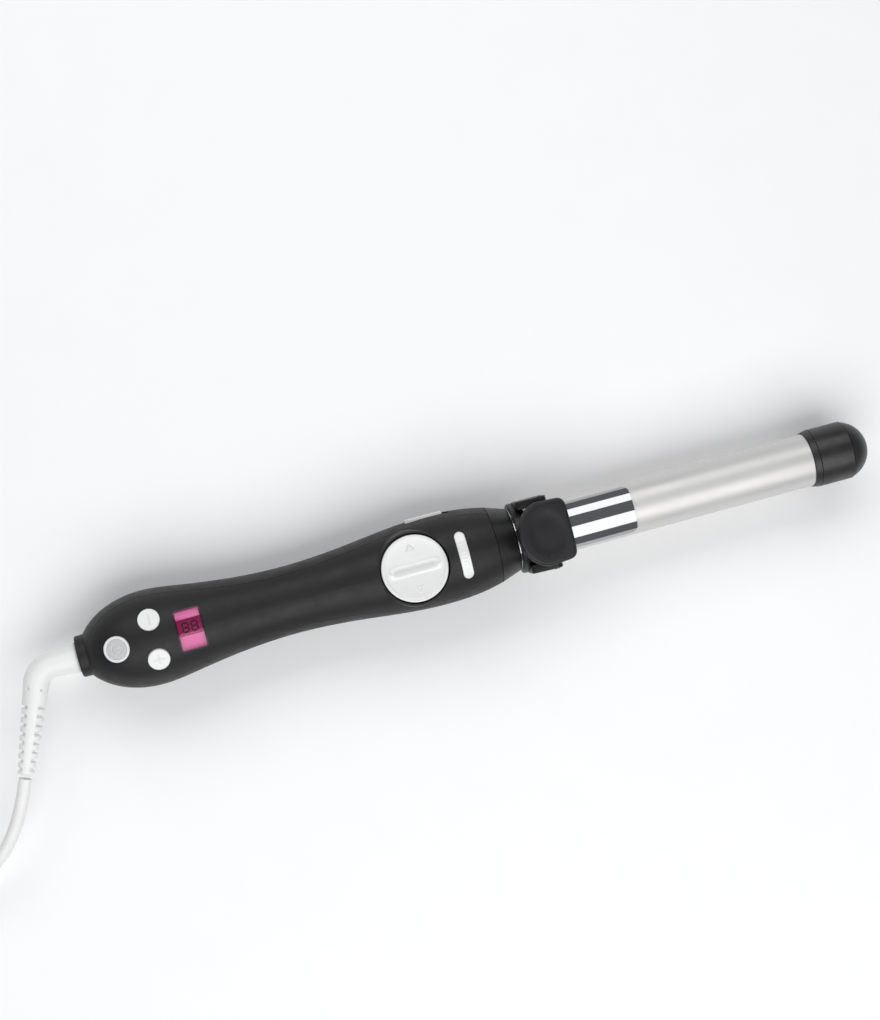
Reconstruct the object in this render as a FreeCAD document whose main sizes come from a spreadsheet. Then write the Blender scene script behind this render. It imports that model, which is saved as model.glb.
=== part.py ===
import FreeCAD, Part
import math
import os
import re

# An automatic hair curler: a motor in the handle turns a heated barrel that carries a sprung clip.
# Every piece is drawn in the tool's own frame, X along the tool from the rear face of the rear
# collar, heights measured from the tool's axis, and its Placement then stands the tool on its
# underside with the middle of its length over the origin. The lead lies on the table behind it.

doc = FreeCAD.newDocument("automatic_hair_curler")
Vector = FreeCAD.Vector

# ---------------------------------------------------------------- driving dimensions, millimetres
SIZES = {
    # the whole tool
    "tool_length": 386.0, "axis_height": 20.9, "free_gap": 0.3, "running_gap": 0.05,
    # handle outline: stations along the axis and the radius at each
    "tail_x": 4.5, "tail_rad": 10.0, "shoulder_x": 10.4, "shoulder_rad": 15.4,
    "crown_x": 19.5, "crown_rad": 19.9, "swell_x": 33.0, "swell_rad": 22.25,
    "taper_x": 52.0, "taper_rad": 20.35, "neck_x": 74.0, "neck_rad": 17.35,
    "waist_x": 100.0, "waist_rad": 15.95, "flare_x": 130.0, "flare_rad": 17.75,
    "hip_x": 156.0, "hip_rad": 20.6, "front_x": 172.6, "front_rad": 21.26,
    "brow_x": 187.0, "brow_rad": 20.45, "nose_x": 198.6, "nose_rad": 18.2,
    "shell_wall": 2.2, "seam_height": 10.0, "seam_gap": 0.25, "rear_screw_x": 78.0,
    "front_screw_x": 122.0,
    # nose cone
    "nose_end": 208.3, "nose_end_rad": 15.0, "nose_wall": 2.0,
    # rear collar and swivel
    "collar_rad": 9.7, "neck_bore": 7.15, "swivel_rad": 7.05, "elbow_corner": -19.0,
    "elbow_bend": 9.5, "elbow_turn": 68.6, "elbow_rad": 6.05, "leg_length": 49.0,
    "leg_end_rad": 3.9, "slot_pitch": 4.1, "slot_width": 1.5,
    # round rocker dial
    "dial_x": 158.7, "dial_rad": 15.6, "dial_well": 16.35, "dial_top": 19.3,
    "dial_under": 14.6, "well_floor": 13.4, "well_rim": 18.6, "rocker_pin_height": 12.2,
    "rocker_pin_rad": 1.0,
    # keys, window, pill button and speed slide
    "power_x": 18.7, "power_rad": 6.0, "power_tilt": 12.0, "power_height": 19.9,
    "key_x": 35.9, "key_y": 9.3, "key_rad": 5.05, "key_tilt": 21.0, "key_height": 20.55,
    "window_x": 52.9, "window_length": 12.4, "window_width": 19.1, "window_corner": 1.5,
    "home_x": 182.2, "home_width": 5.0, "home_length": 22.2, "home_rad": 21.3,
    "slide_x": 169.8, "slide_height": 2.5, "slide_reach": 22.1, "slide_half": 9.0,
    # boards
    "board_height": 10.4, "board_thick": 1.6, "dial_board_height": 7.6,
    "dial_board_thick": 1.2,
    # drive train
    "motor_start": 134.0, "motor_end": 158.0, "motor_width": 12.0, "motor_tall": 10.0,
    "gear_module": 0.5, "gear_teeth": 26.0, "pinion_teeth": 12.0, "gear_start": 162.0,
    "gear_end": 166.0, "spindle_rad": 5.0, "spindle_bore": 3.6, "bush_start": 168.0,
    "bush_end": 173.0, "bush_rad": 6.6, "bearing_start": 199.8, "bearing_end": 204.8,
    "bearing_rad": 9.5, "sleeve_start": 175.0, "sleeve_end": 188.0, "sleeve_rad": 6.0,
    "band_rad": 6.4, "band_width": 2.2, "band_pitch": 4.0,
    # barrel
    "barrel_start": 209.8, "barrel_end": 355.8, "barrel_rad": 12.7, "barrel_bore": 11.5,
    "shine_start": 208.75, "shine_rad": 14.6, "ring_start": 209.4, "ring_end": 215.2,
    "ring_rad": 16.8, "heat_start": 226.0, "heat_end": 346.0,
    # clip
    "pin_x": 223.0, "pin_height": 16.6, "pin_rad": 1.25, "lug_inner": 13.2,
    "lug_outer": 17.2, "lug_rad": 3.2, "web_inner": 9.4, "web_outer": 11.6,
    "blade_start": 224.0, "blade_end": 266.0, "blade_bore": 13.0, "blade_rad": 13.7,
    "blade_half_angle": 54.0, "blade_corner": 3.5, "lever_rear": 208.0,
    "lever_front": 234.0, "lever_half": 15.2, "lever_corner": 2.5, "lever_draw": 0.8,
    "lever_thick": 2.6, "lever_rear_height": 24.0,
    "lever_front_height": 18.6, "spring_wire": 0.4, "spring_rad": 2.0, "spring_turns": 7.0,
    # cool tip
    "tip_ring_rad": 13.25, "tip_ring_end": 359.0, "tip_rad": 13.95, "tip_groove": 375.7,
    "dome_rad": 13.55,
    # mains lead
    "cord_rad": 3.0, "coil_mid_rad": 36.0, "coil_columns": 3.0, "coil_rows": 3.0,
    "coil_x": -312.9, "coil_y": -52.8, "plug_height": 13.0, "plug_width": 20.0,
    "plug_length": 26.0,
}

sheet = doc.addObject("Spreadsheet::Sheet", "Sizes")
for row, (alias, value) in enumerate(SIZES.items(), start=1):
    sheet.set(f"A{row}", alias)
    sheet.set(f"B{row}", str(value))
    sheet.setAlias(f"B{row}", alias)
doc.recompute()

pieces = []


def size(alias):
    """The number in the sheet's cell, for shapes that no primitive or feature can draw."""
    return float(sheet.get(alias))


def bind(target, prop, rule):
    """Ties a property to a rule written with the sheet's names, such as barrel_rad - 0.05."""
    text = re.sub(r"[a-z][a-z_]*", lambda word: "Sizes." + word.group(), str(rule))
    target.setExpression(prop, text)


def put(target, x=0, y=0, z=0):
    bind(target, ".Placement.Base.x", x)
    bind(target, ".Placement.Base.y", y)
    bind(target, ".Placement.Base.z", z)
    return target


def turned(axis, degrees):
    return FreeCAD.Placement(Vector(), FreeCAD.Rotation(axis, degrees))


ALONG_X = turned(Vector(0, 1, 0), 90)
ALONG_Y = turned(Vector(1, 0, 0), -90)


def rod(radius, start, end, y=0, z=0):
    """A round bar along the tool."""
    bar = doc.addObject("Part::Cylinder", "rod")
    bar.Placement = ALONG_X
    bind(bar, "Radius", radius)
    bind(bar, "Height", f"({end}) - ({start})")
    return put(bar, start, y, z)


def taper(first, last, start, end):
    """A cone along the tool, from one radius to another."""
    bar = doc.addObject("Part::Cone", "taper")
    bar.Placement = ALONG_X
    bind(bar, "Radius1", first)
    bind(bar, "Radius2", last)
    bind(bar, "Height", f"({end}) - ({start})")
    return put(bar, start)


def cross_rod(radius, low, high, x, z):
    """A round bar across the tool."""
    bar = doc.addObject("Part::Cylinder", "cross_rod")
    bar.Placement = ALONG_Y
    bind(bar, "Radius", radius)
    bind(bar, "Height", f"({high}) - ({low})")
    return put(bar, x, low, z)


def post(radius, low, high, x, y=0):
    """An upright round bar."""
    bar = doc.addObject("Part::Cylinder", "post")
    bind(bar, "Radius", radius)
    bind(bar, "Height", f"({high}) - ({low})")
    return put(bar, x, y, low)


def upright_cone(low_rad, high_rad, low, high, x, y=0):
    bar = doc.addObject("Part::Cone", "upright_cone")
    bind(bar, "Radius1", low_rad)
    bind(bar, "Radius2", high_rad)
    bind(bar, "Height", f"({high}) - ({low})")
    return put(bar, x, y, low)


def block(x, y, z):
    """A box from three pairs of limits."""
    box = doc.addObject("Part::Box", "block")
    for side, (low, high) in zip(("Length", "Width", "Height"), (x, y, z)):
        bind(box, side, f"({high}) - ({low})")
    return put(box, x[0], y[0], z[0])


def fuse(*shapes):
    whole = doc.addObject("Part::MultiFuse", "fuse")
    whole.Shapes = list(shapes)
    return whole


def common(*shapes):
    shared = doc.addObject("Part::MultiCommon", "common")
    shared.Shapes = list(shapes)
    return shared


def cut(base, *tools):
    rest = doc.addObject("Part::Cut", "cut")
    rest.Base = base
    rest.Tool = tools[0] if len(tools) == 1 else fuse(*tools)
    return rest


def solids(*shapes):
    """Separate solids that share one node."""
    group = doc.addObject("Part::Compound", "solids")
    group.Links = list(shapes)
    return group


def free_shape(shape):
    """A shape that neither a primitive nor a feature can draw."""
    made = doc.addObject("Part::Feature", "free_shape")
    made.Shape = shape
    return made


def tube(outer, inner, start, end):
    """A ring about the tool's axis."""
    return cut(rod(outer, start, end), rod(inner, f"{start} - 1", f"{end} + 1"))


PRIMITIVES = ("Part::Box", "Part::Cylinder", "Part::Cone")


def finish(piece, label, in_tool_frame=True):
    """Names a sub-part and stands it where the tool lies. A bare primitive already has a place
    in the tool's frame, so a group of one carries it."""
    if piece.TypeId in PRIMITIVES:
        piece = solids(piece)
    piece.Label = label
    if in_tool_frame:
        put(piece, "0 - tool_length / 2", 0, "axis_height")
    pieces.append(piece)
    return piece


# ------------------------------------------------------------------------------ handle casing
OUTLINE = ("tail", "shoulder", "crown", "swell", "taper", "neck", "waist", "flare", "hip",
           "front", "brow", "nose")


def grip_solid(inset):
    """The handle's outline turned about the axis, drawn in by inset all round."""
    points = [Vector(size(f"{name}_x"), 0, size(f"{name}_rad") - inset) for name in OUTLINE]
    curve = Part.BSplineCurve()
    curve.interpolate(points)
    rear, front = points[0], points[-1]
    foot, head = Vector(rear.x, 0, 0), Vector(front.x, 0, 0)
    wire = Part.Wire([curve.toShape(), Part.makeLine(front, head), Part.makeLine(head, foot),
                      Part.makeLine(foot, rear)])
    return Part.Face(wire).revolve(Vector(), Vector(1, 0, 0), 360)


def grip(inset):
    return free_shape(grip_solid(inset))


SCREW_STATIONS = ("rear_screw_x", "front_screw_x")


def lower_shell():
    """The lower casing, open above the seam, with two screw towers and a flat to lie on."""
    wall = cut(grip(0), grip(size("shell_wall")))
    towers = [common(post(4.2, "0 - axis_height", "seam_height", x), grip(1.0))
              for x in SCREW_STATIONS]
    above = block(("0", "250"), ("-40", "40"), ("seam_height - seam_gap / 2", "40"))
    below = block(("0", "250"), ("-40", "40"), ("-40", "0 - axis_height"))
    wells = [post(3.0, "-30", "-6", x) for x in SCREW_STATIONS]
    holes = [post(1.45, "-10", "20", x) for x in SCREW_STATIONS]
    slide_slot = block(("slide_x - slide_half - 0.3", "slide_x + slide_half + 3.3"), ("15", "30"),
                       ("slide_height - 2.2", "slide_height + 2.2"))
    return cut(fuse(wall, *towers), above, below, *wells, *holes, slide_slot)


def key_bar(radius, low, high, side):
    """A bar along a key's own axis; low and high are measured from the key's face, outwards."""
    tilt = math.radians(size("key_tilt")) * -side
    bar = doc.addObject("Part::Cylinder", "key_bar")
    bind(bar, "Radius", radius)
    bind(bar, "Height", high - low)
    axis = Vector(0, -math.sin(tilt), math.cos(tilt))
    bar.Placement = turned(Vector(1, 0, 0), math.degrees(tilt))
    return put(bar, "key_x", f"{side} * key_y + {low * axis.y}", f"key_height + {low * axis.z}")


def power_bar(radius, low, high):
    """A bar along the power button's own axis, which leans back a little."""
    lean = math.radians(size("power_tilt"))
    bar = doc.addObject("Part::Cylinder", "power_bar")
    bind(bar, "Radius", radius)
    bind(bar, "Height", high - low)
    bar.Placement = turned(Vector(0, 1, 0), -math.degrees(lean))
    return put(bar, f"power_x - {low * math.sin(lean)}", 0,
               f"power_height + {low * math.cos(lean)}")


def pill(width, length, low, high, x):
    """An upright bar with a slot's outline, its long side across the tool."""
    ends = [post(f"({width}) / 2", low, high, x, f"{side} * (({length}) - ({width})) / 2")
            for side in (-1, 1)]
    middle = block((f"({x}) - ({width}) / 2", f"({x}) + ({width}) / 2"),
                   (f"0 - (({length}) - ({width})) / 2", f"(({length}) - ({width})) / 2"),
                   (low, high))
    return fuse(middle, *ends)


def soft_box(x, y, z, corner):
    """A box with its four upright edges rounded."""
    box = block(x, y, z)
    doc.recompute()
    rounded = doc.addObject("Part::Fillet", "soft_box")
    rounded.Base = box
    upright = [number for number, edge in enumerate(box.Shape.Edges, start=1)
               if abs(edge.tangentAt(edge.FirstParameter).z) > 0.9]
    rounded.Edges = [(number, corner, corner) for number in upright]
    return rounded


def window_prism(grow, low, high):
    """The display window's outline, drawn out by grow all round."""
    half_long, half_wide = f"window_length / 2 + {grow}", f"window_width / 2 + {grow}"
    return soft_box((f"window_x - ({half_long})", f"window_x + {half_long}"),
                    (f"0 - ({half_wide})", half_wide), (low, high), size("window_corner") + grow)


def top_cover():
    """The upper casing: the well for the dial is a cup let into it, and every key has its hole."""
    wall = cut(grip(0), grip(size("shell_wall")))
    cup = upright_cone(18.2, 17.2, "seam_height", "well_rim", "dial_x")
    towers = [common(post(3.2, "seam_height", "30", x), grip(1.0)) for x in SCREW_STATIONS]
    under_cup = post(15.6, "0", "well_floor - 2.6", "dial_x")
    well = post("dial_well", "well_floor", "40", "dial_x")
    lug_hole = block(("dial_x - 4", "dial_x + 4"), ("-4.2", "4.2"), ("5", "20"))
    peg_holes = [post(2.2, "5", "20", "dial_x", side * 9) for side in (-1, 1)]
    pin_hole = rod("rocker_pin_rad", "dial_x - 9", "dial_x + 9", 0, "rocker_pin_height")
    below = block(("0", "250"), ("-40", "40"), ("-40", "seam_height + seam_gap / 2"))
    keys = [key_bar(size("key_rad") + size("free_gap"), -12, 10, side) for side in (-1, 1)]
    power = power_bar(size("power_rad") + size("free_gap"), -9, 10)
    home = pill("home_width + 2 * free_gap", "home_length + 2 * free_gap", "5", "30", "home_x")
    pilots = [post(1.25, "5", "15", x) for x in SCREW_STATIONS]
    return cut(fuse(wall, cup, *towers), under_cup, well, lug_hole, *peg_holes, pin_hole, below,
               *keys, power, window_prism(0.1, "5", "30"), home, *pilots)


def nose_cone():
    """The tapered front of the casing, with a seat for the front bearing and a spigot behind."""
    outside = taper("nose_rad", "nose_end_rad", "nose_x + seam_gap", "nose_end")
    hollow = taper("nose_rad - nose_wall", "nose_end_rad - nose_wall", "nose_x", "nose_end - 2")
    skin = cut(outside, hollow)
    spigot = tube("nose_rad - shell_wall - 0.2", "nose_rad - shell_wall - 1.6", "nose_x - 4",
                  "nose_x + 1.2")
    seat = tube("bearing_rad + 1.8", "bearing_rad", "bearing_start - 0.6", "nose_end - 1")
    web = tube("nose_rad - nose_wall + 0.3", "bearing_rad + 1", "bearing_start - 0.6",
               "bearing_start + 1")
    mouth = rod("spindle_rad + 0.9", "nose_x - 5", "nose_end + 1")
    return cut(fuse(skin, spigot, seat, web), mouth)


finish(lower_shell(), "handle_lower_shell")
finish(top_cover(), "handle_top_cover")
finish(nose_cone(), "nose_cone")


def case_screw(x):
    return fuse(post(2.7, "-8.2", "-6", x), post(1.25, "-6.5", "14.5", x))


finish(solids(*[case_screw(x) for x in SCREW_STATIONS]), "case_screws")

# --------------------------------------------------------------------------- rear collar, swivel
collar = cut(fuse(rod("collar_rad", "0", "tail_x - 0.1"), rod(7.8, "1", "8.4")),
             rod("neck_bore", "-1", "10"))
finish(collar, "rear_collar")

swivel_core = cut(fuse(rod("swivel_rad", "-0.5", "8.8"), rod(9.6, "8.8", "10.8"),
                       rod(3.6, "10", "22")), rod(2.2, "-1", "23"))
finish(swivel_core, "swivel_core")

finish(solids(*[tube(4.1, 3.6, f"{start}", f"{start} + 2.4") for start in (13, 18)]),
       "swivel_contact_rings")

brush_holder = cut(block(("12", "22"), ("-5", "5"), ("-9.5", "-1")), rod(4.4, "11", "23"))
finish(brush_holder, "swivel_brush_holder")


def leg_direction():
    turn = math.radians(size("elbow_turn"))
    return Vector(-math.cos(turn), -math.sin(turn), 0)


def cone_between(first, last, first_rad, last_rad):
    """A cone from one point to another."""
    return Part.makeCone(first_rad, last_rad, (last - first).Length, first, last - first)


def strain_relief():
    """The soft elbow: a short root along the axis, a round bend, and a tapered leg with slots
    cut from both sides in turn, so that it bends evenly."""
    turn = math.radians(size("elbow_turn"))
    bend, radius = size("elbow_bend"), size("elbow_rad")
    tangent = bend * math.tan(turn / 2)
    corner, along = Vector(size("elbow_corner"), 0, 0), leg_direction()
    root_end = corner + Vector(tangent, 0, 0)
    leg_start, leg_end = corner + along * tangent, corner + along * size("leg_length")
    centre = root_end + Vector(0, -bend, 0)
    section = Part.Face(Part.Wire(Part.makeCircle(radius, root_end, Vector(1, 0, 0))))
    elbow = section.revolve(centre, Vector(0, 0, 1), size("elbow_turn"))
    root = cone_between(Vector(-0.6, 0, 0), root_end, size("swivel_rad"), radius)
    leg = cone_between(leg_start, leg_end, radius, size("leg_end_rad"))
    body = root.fuse([elbow, leg]).removeSplitter()
    side = Vector(along.y, -along.x, 0)
    cuts = []
    for number in range(8):
        middle = leg_end - along * (3.2 + number * size("slot_pitch"))
        for sign in (-1, 1):
            corner_point = Vector(-size("slot_width") / 2, 3.0, -10)
            slot = Part.makeBox(size("slot_width"), 6, 20, corner_point)
            frame = FreeCAD.Matrix(along.x, side.x * sign, 0, 0, along.y, side.y * sign, 0, 0,
                                   0, 0, 1, 0, 0, 0, 0, 1)
            slot = slot.transformGeometry(frame)
            slot.translate(middle)
            cuts.append(slot)
    body = body.cut(Part.makeCompound(cuts))
    bore = Part.makeCylinder(size("cord_rad") + 0.05, 13, leg_end - along * 12, along)
    return body.cut(bore)


finish(free_shape(strain_relief()), "strain_relief")

# ------------------------------------------------------------------------------- keys and window
finish(common(window_prism(0, "5", "30"), cut(grip(0.25), grip(1.9))), "display_window")
finish(block(("window_x - 6", "window_x + 6"), ("-8", "8"), ("13.0", "15.4")), "display_module")


def board(label, x, y, z, holes):
    """A circuit board drawn as a padded sketch with its mounting holes."""
    body = doc.addObject("PartDesign::Body", label)
    sketch = body.newObject("Sketcher::SketchObject", f"{label}_outline")
    plane = [item for item in body.Origin.OriginFeatures if item.Role == "XY_Plane"][0]
    sketch.AttachmentSupport = (plane, [""])
    sketch.MapMode = "FlatFace"
    corners = [Vector(x[0], y[0], 0), Vector(x[1], y[0], 0), Vector(x[1], y[1], 0),
               Vector(x[0], y[1], 0)]
    for first, last in zip(corners, corners[1:] + corners[:1]):
        sketch.addGeometry(Part.LineSegment(first, last), False)
    for centre in holes:
        sketch.addGeometry(Part.Circle(Vector(*centre, 0), Vector(0, 0, 1), 1.1), False)
    pad = body.newObject("PartDesign::Pad", f"{label}_pad")
    pad.Profile = sketch
    bind(pad, "Length", z[1])
    doc.recompute()
    finish(body, label)
    bind(body, ".Placement.Base.z", f"axis_height + {z[0]}")
    return body


board("control_board", (17, 64), (-11, 11), ("board_height", "board_thick"),
      ((61, -8.5), (61, 8.5)))
board("dial_board", (146, 190), (-12, 12), ("dial_board_height", "dial_board_thick"),
      ((148.5, -9.5), (148.5, 9.5)))


def tact_switch(x, y, low, high):
    return fuse(block((f"{x} - 3", f"{x} + 3"), (f"{y} - 3", f"{y} + 3"), (low, f"{high} - 0.6")),
                post(1.5, f"{high} - 0.8", high, x, y))


finish(solids(tact_switch("power_x + 1.6", "0", "12", "14.3"),
              *[tact_switch("key_x", f"{side * 7.7}", "12", "14.6") for side in (-1, 1)]),
       "key_switches")
finish(solids(*[tact_switch("dial_x", f"{side * 9}", "8.8", "10.9") for side in (-1, 1)],
              tact_switch("home_x", "0", "8.8", "13.8")), "dial_switches")

finish(cut(power_bar("power_rad", -4.6, 0.55), power_bar("power_rad - 1.3", -1.4, 2)),
       "power_button_rim")
finish(power_bar("power_rad - 1.35", -1.35, 0.25), "power_button_lens")
for side, label in ((1, "minus_button"), (-1, "plus_button")):
    finish(key_bar("key_rad", -4.6, 0.6, side), label)

home_outer = cut(pill("home_width", "home_length", "15.2", "30", "home_x"),
                 tube(60, "home_rad", "home_x - 5", "home_x + 5"))
finish(fuse(home_outer, post(1.5, "14.5", "16", "home_x")), "home_button")


def rocker_dial():
    """The round rocker: a thick disc with a raised ridge along the tool and a lug for its pin."""
    disc = post("dial_rad", "dial_under", "dial_top", "dial_x")
    doc.recompute()
    soft = doc.addObject("Part::Fillet", "dial_edge")
    soft.Base = disc
    rims = [number for number, edge in enumerate(disc.Shape.Edges, start=1)
            if edge.BoundBox.ZLength < 0.1 and edge.BoundBox.ZMin > size("dial_top") - 0.1]
    soft.Edges = [(rims[0], 0.8, 0.8)]
    crest = size("dial_top") + 1.0
    ridge = Part.makePolygon([Vector(0, -3.2, size("dial_top") - 0.5), Vector(0, -0.5, crest),
                              Vector(0, 0.5, crest), Vector(0, 3.2, size("dial_top") - 0.5),
                              Vector(0, -3.2, size("dial_top") - 0.5)])
    bar = free_shape(Part.Face(ridge).extrude(Vector(24, 0, 0)))
    put(bar, "dial_x - 12")
    lug = block(("dial_x - 3", "dial_x + 3"), ("-3", "3"),
                ("rocker_pin_height - 1.6", "dial_under + 1"))
    pegs = [post(1.2, "11.6", "dial_under + 1", "dial_x", side * 9) for side in (-1, 1)]
    bore = rod("rocker_pin_rad + running_gap", "dial_x - 5", "dial_x + 5", 0, "rocker_pin_height")
    return cut(fuse(soft, bar, lug, *pegs), bore)


finish(rocker_dial(), "rocker_dial")
finish(rod("rocker_pin_rad", "dial_x - 8.8", "dial_x + 8.8", 0, "rocker_pin_height"), "rocker_pin")

slide_knob = fuse(block(("slide_x - slide_half", "slide_x + slide_half"), ("15.6", "slide_reach"),
                        ("slide_height - 1.8", "slide_height + 1.8")),
                  block(("slide_x - slide_half - 3.5", "slide_x + slide_half + 3.5"), ("15.2", "15.8"),
                        ("slide_height - 3.2", "slide_height + 3.2")))
finish(slide_knob, "speed_slide")
finish(block(("slide_x - 8", "slide_x + 7"), ("11.4", "14.9"),
             ("slide_height - 4", "slide_height + 3.6")), "slide_switch_body")

# ---------------------------------------------------------------------------------- drive train
CENTRES = "gear_module * (gear_teeth + pinion_teeth) / 2"


def motor_block(start, end, round_sides):
    box = block((start, end), ("0 - motor_width / 2", "motor_width / 2"),
                (f"0 - {CENTRES} - motor_tall / 2", f"motor_tall / 2 - {CENTRES}"))
    if not round_sides:
        return box
    return common(box, rod("motor_width / 2", start, end, 0, f"0 - {CENTRES}"))


gear_motor = cut(fuse(motor_block("motor_start", "motor_end - 9", True),
                      motor_block("motor_end - 9", "motor_end", False)),
                 rod("1.5 + running_gap", "motor_end - 3", "motor_end + 1", 0, f"0 - {CENTRES}"))
finish(gear_motor, "gear_motor")


def frame_plate(start, end):
    plate = block((start, end), ("-11.1", "11.1"), ("-16.5", "7.3"))
    return common(plate, grip(size("shell_wall") + size("free_gap")))


rails = [block(("motor_end", "bush_end"), (f"{side * 10.4} - 1", f"{side * 10.4} + 1"), ("-8", "-4"))
         for side in (-1, 1)]
gear_frame = cut(fuse(frame_plate("motor_end", "motor_end + 2.5"),
                      frame_plate("bush_start", "bush_end"), *rails),
                 rod("bush_rad", "bush_start - 1", "bush_end + 1"),
                 rod(2.6, "motor_end - 1", "motor_end + 4", 0, f"0 - {CENTRES}"),
                 *[rod(0.8, "motor_end - 1", "motor_end + 4", side * 4.5, f"0 - {CENTRES}")
                   for side in (-1, 1)])
finish(gear_frame, "gear_frame")
finish(solids(*[fuse(rod(0.8, "motor_end", "motor_end + 2.6", side * 4.5, f"0 - {CENTRES}"),
                     rod(1.4, "motor_end + 2.5", "motor_end + 3.4", side * 4.5, f"0 - {CENTRES}"))
                for side in (-1, 1)]), "motor_screws")
finish(tube("bush_rad", "spindle_rad + running_gap", "bush_start", "bush_end"), "rear_bush")


def ball_bearing():
    """A sealed ball bearing: two races and the shields between them, as one ring."""
    ring = tube("bearing_rad", "spindle_rad + running_gap", "bearing_start", "bearing_end")
    grooves = [tube("bearing_rad - 1.3", "spindle_rad + 1.3", start, end)
               for start, end in (("bearing_start - 1", "bearing_start + 0.3"),
                                  ("bearing_end - 0.3", "bearing_end + 1"))]
    return cut(ring, *grooves)


finish(ball_bearing(), "front_bearing")


def spur_gear(teeth, start, end, bore, turn):
    """A spur gear whose teeth are straight-sided, a little thin for backlash."""
    module, pitch = size("gear_module"), size("gear_module") * teeth / 2
    step = 2 * math.pi / teeth
    flank = ((pitch - 1.15 * module, 0.34), (pitch, 0.225), (pitch + 0.9 * module, 0.12))
    outline = []
    for tooth in range(teeth):
        for side, half_widths in ((-1, flank), (1, flank[::-1])):
            outline += [(radius, tooth * step + turn + side * half * step)
                        for radius, half in half_widths]
    points = [Vector(start, radius * math.cos(angle), radius * math.sin(angle))
              for radius, angle in outline]
    face = Part.Face(Part.makePolygon(points + points[:1]))
    blank = face.extrude(Vector(end - start, 0, 0))
    return blank.cut(Part.makeCylinder(bore, end - start + 2, Vector(start - 1, 0, 0), Vector(1, 0, 0)))


gear_teeth, pinion_teeth = int(size("gear_teeth")), int(size("pinion_teeth"))
DOWN = -math.pi / 2
finish(free_shape(spur_gear(gear_teeth, size("gear_start"), size("gear_end"), size("spindle_rad"),
                            DOWN)), "drive_gear")
pinion = free_shape(spur_gear(pinion_teeth, size("gear_start"), size("gear_end"), 1.5,
                              -DOWN + math.pi / pinion_teeth))
finish(pinion, "motor_pinion")
bind(pinion, ".Placement.Base.z", f"axis_height - {CENTRES}")
finish(rod(1.5, "motor_end - 2.6", "gear_end + 0.8", 0, f"0 - {CENTRES}"), "pinion_shaft")
finish(tube("spindle_rad", "spindle_bore", "gear_start - 0.5", "barrel_start + 14"), "drive_spindle")
finish(tube("sleeve_rad", "spindle_rad", "sleeve_start", "sleeve_end"), "slip_ring_sleeve")
BANDS = range(3)
finish(solids(*[tube("band_rad", "sleeve_rad", f"sleeve_start + 1.4 + {number} * band_pitch",
                     f"sleeve_start + 1.4 + {number} * band_pitch + band_width")
                for number in BANDS]), "slip_ring_bands")
finish(block(("sleeve_start", "sleeve_end"), ("-6", "6"), ("-12.6", "-9.2")), "brush_block")
finish(solids(*[block((f"sleeve_start + 1.7 + {number} * band_pitch",
                       f"sleeve_start + 1.7 + {number} * band_pitch + 1.6"), ("-1", "1"),
                      ("-9.2", "-0.08 - band_rad")) for number in BANDS]), "brushes")

# --------------------------------------------------------------------------------------- barrel
finish(tube("shine_rad", "spindle_rad", "shine_start", "ring_start"), "polished_ring")
finish(tube("barrel_bore - 0.02", "spindle_rad", "barrel_start", "barrel_start + 11"), "barrel_hub")
finish(tube("barrel_rad", "barrel_bore", "barrel_start", "barrel_end"), "barrel_tube")


def clip_ring():
    """The ring that carries the clip, with a lug each side for the hinge pin."""
    ring = tube("ring_rad", "barrel_rad + 0.02", "ring_start", "ring_end")
    lugs = []
    for low, high in (("lug_inner", "lug_outer"), ("0 - lug_outer", "0 - lug_inner")):
        arm = block(("ring_end - 4", "pin_x + 2.6"), (low, high), ("3", "pin_height - 1.5"))
        brace = block(("ring_end - 3.5", "pin_x"), (low, high), ("3", "pin_height + 1.6"))
        eye = cross_rod("lug_rad", low, high, "pin_x", "pin_height")
        lugs += [arm, brace, eye]
    return cut(fuse(ring, *lugs), cross_rod("pin_rad", "-20", "20", "pin_x", "pin_height"),
               rod("barrel_rad + 0.02", "ring_start - 1", "ring_end + 20"))


finish(clip_ring(), "clip_ring")
finish(cross_rod("pin_rad", "0 - lug_outer - 0.4", "lug_outer + 0.4", "pin_x", "pin_height"),
       "hinge_pin")


def clip_spring():
    """A torsion spring round the hinge pin, its coils drawn as rings side by side, with one leg
    back over the ring and one forward under the lever."""
    turns = int(size("spring_turns"))
    pitch = 2.2 * size("spring_wire")
    rings = []
    for number in range(turns):
        ring = doc.addObject("Part::Torus", "spring_coil")
        ring.Placement = ALONG_Y
        bind(ring, "Radius1", "spring_rad")
        bind(ring, "Radius2", "spring_wire")
        rings.append(put(ring, "pin_x", (number - (turns - 1) / 2) * pitch, "pin_height"))
    edge = (turns + 1) / 2 * pitch
    legs = [rod("spring_wire", start, end, y, "pin_height + spring_rad")
            for start, end, y in (("pin_x - 4.4", "pin_x", edge), ("pin_x", "pin_x + 2.4", -edge))]
    return solids(*rings, *legs)


finish(clip_spring(), "clip_spring")

heat_length = ("heat_start - 1", "heat_end + 1")
heat_halves = cut(rod("barrel_bore - 0.3", "heat_start", "heat_end"),
                  block(heat_length, ("-6.2", "6.2"), ("-1.05", "1.05")),
                  block(heat_length, ("-20", "20"), ("-0.4", "0.4")),
                  *[rod(1.6, *heat_length, 0, z) for z in (-6.5, 6.5)])
finish(heat_halves, "heat_spreaders")
finish(block(("heat_start + 2", "heat_end - 2"), ("-6", "6"), ("-0.95", "0.95")),
       "ceramic_heater")
finish(rod(1.4, "300", "306", 0, 6.5), "thermistor")
finish(rod(1.5, "240", "252", 0, -6.5), "thermal_fuse")

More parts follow.
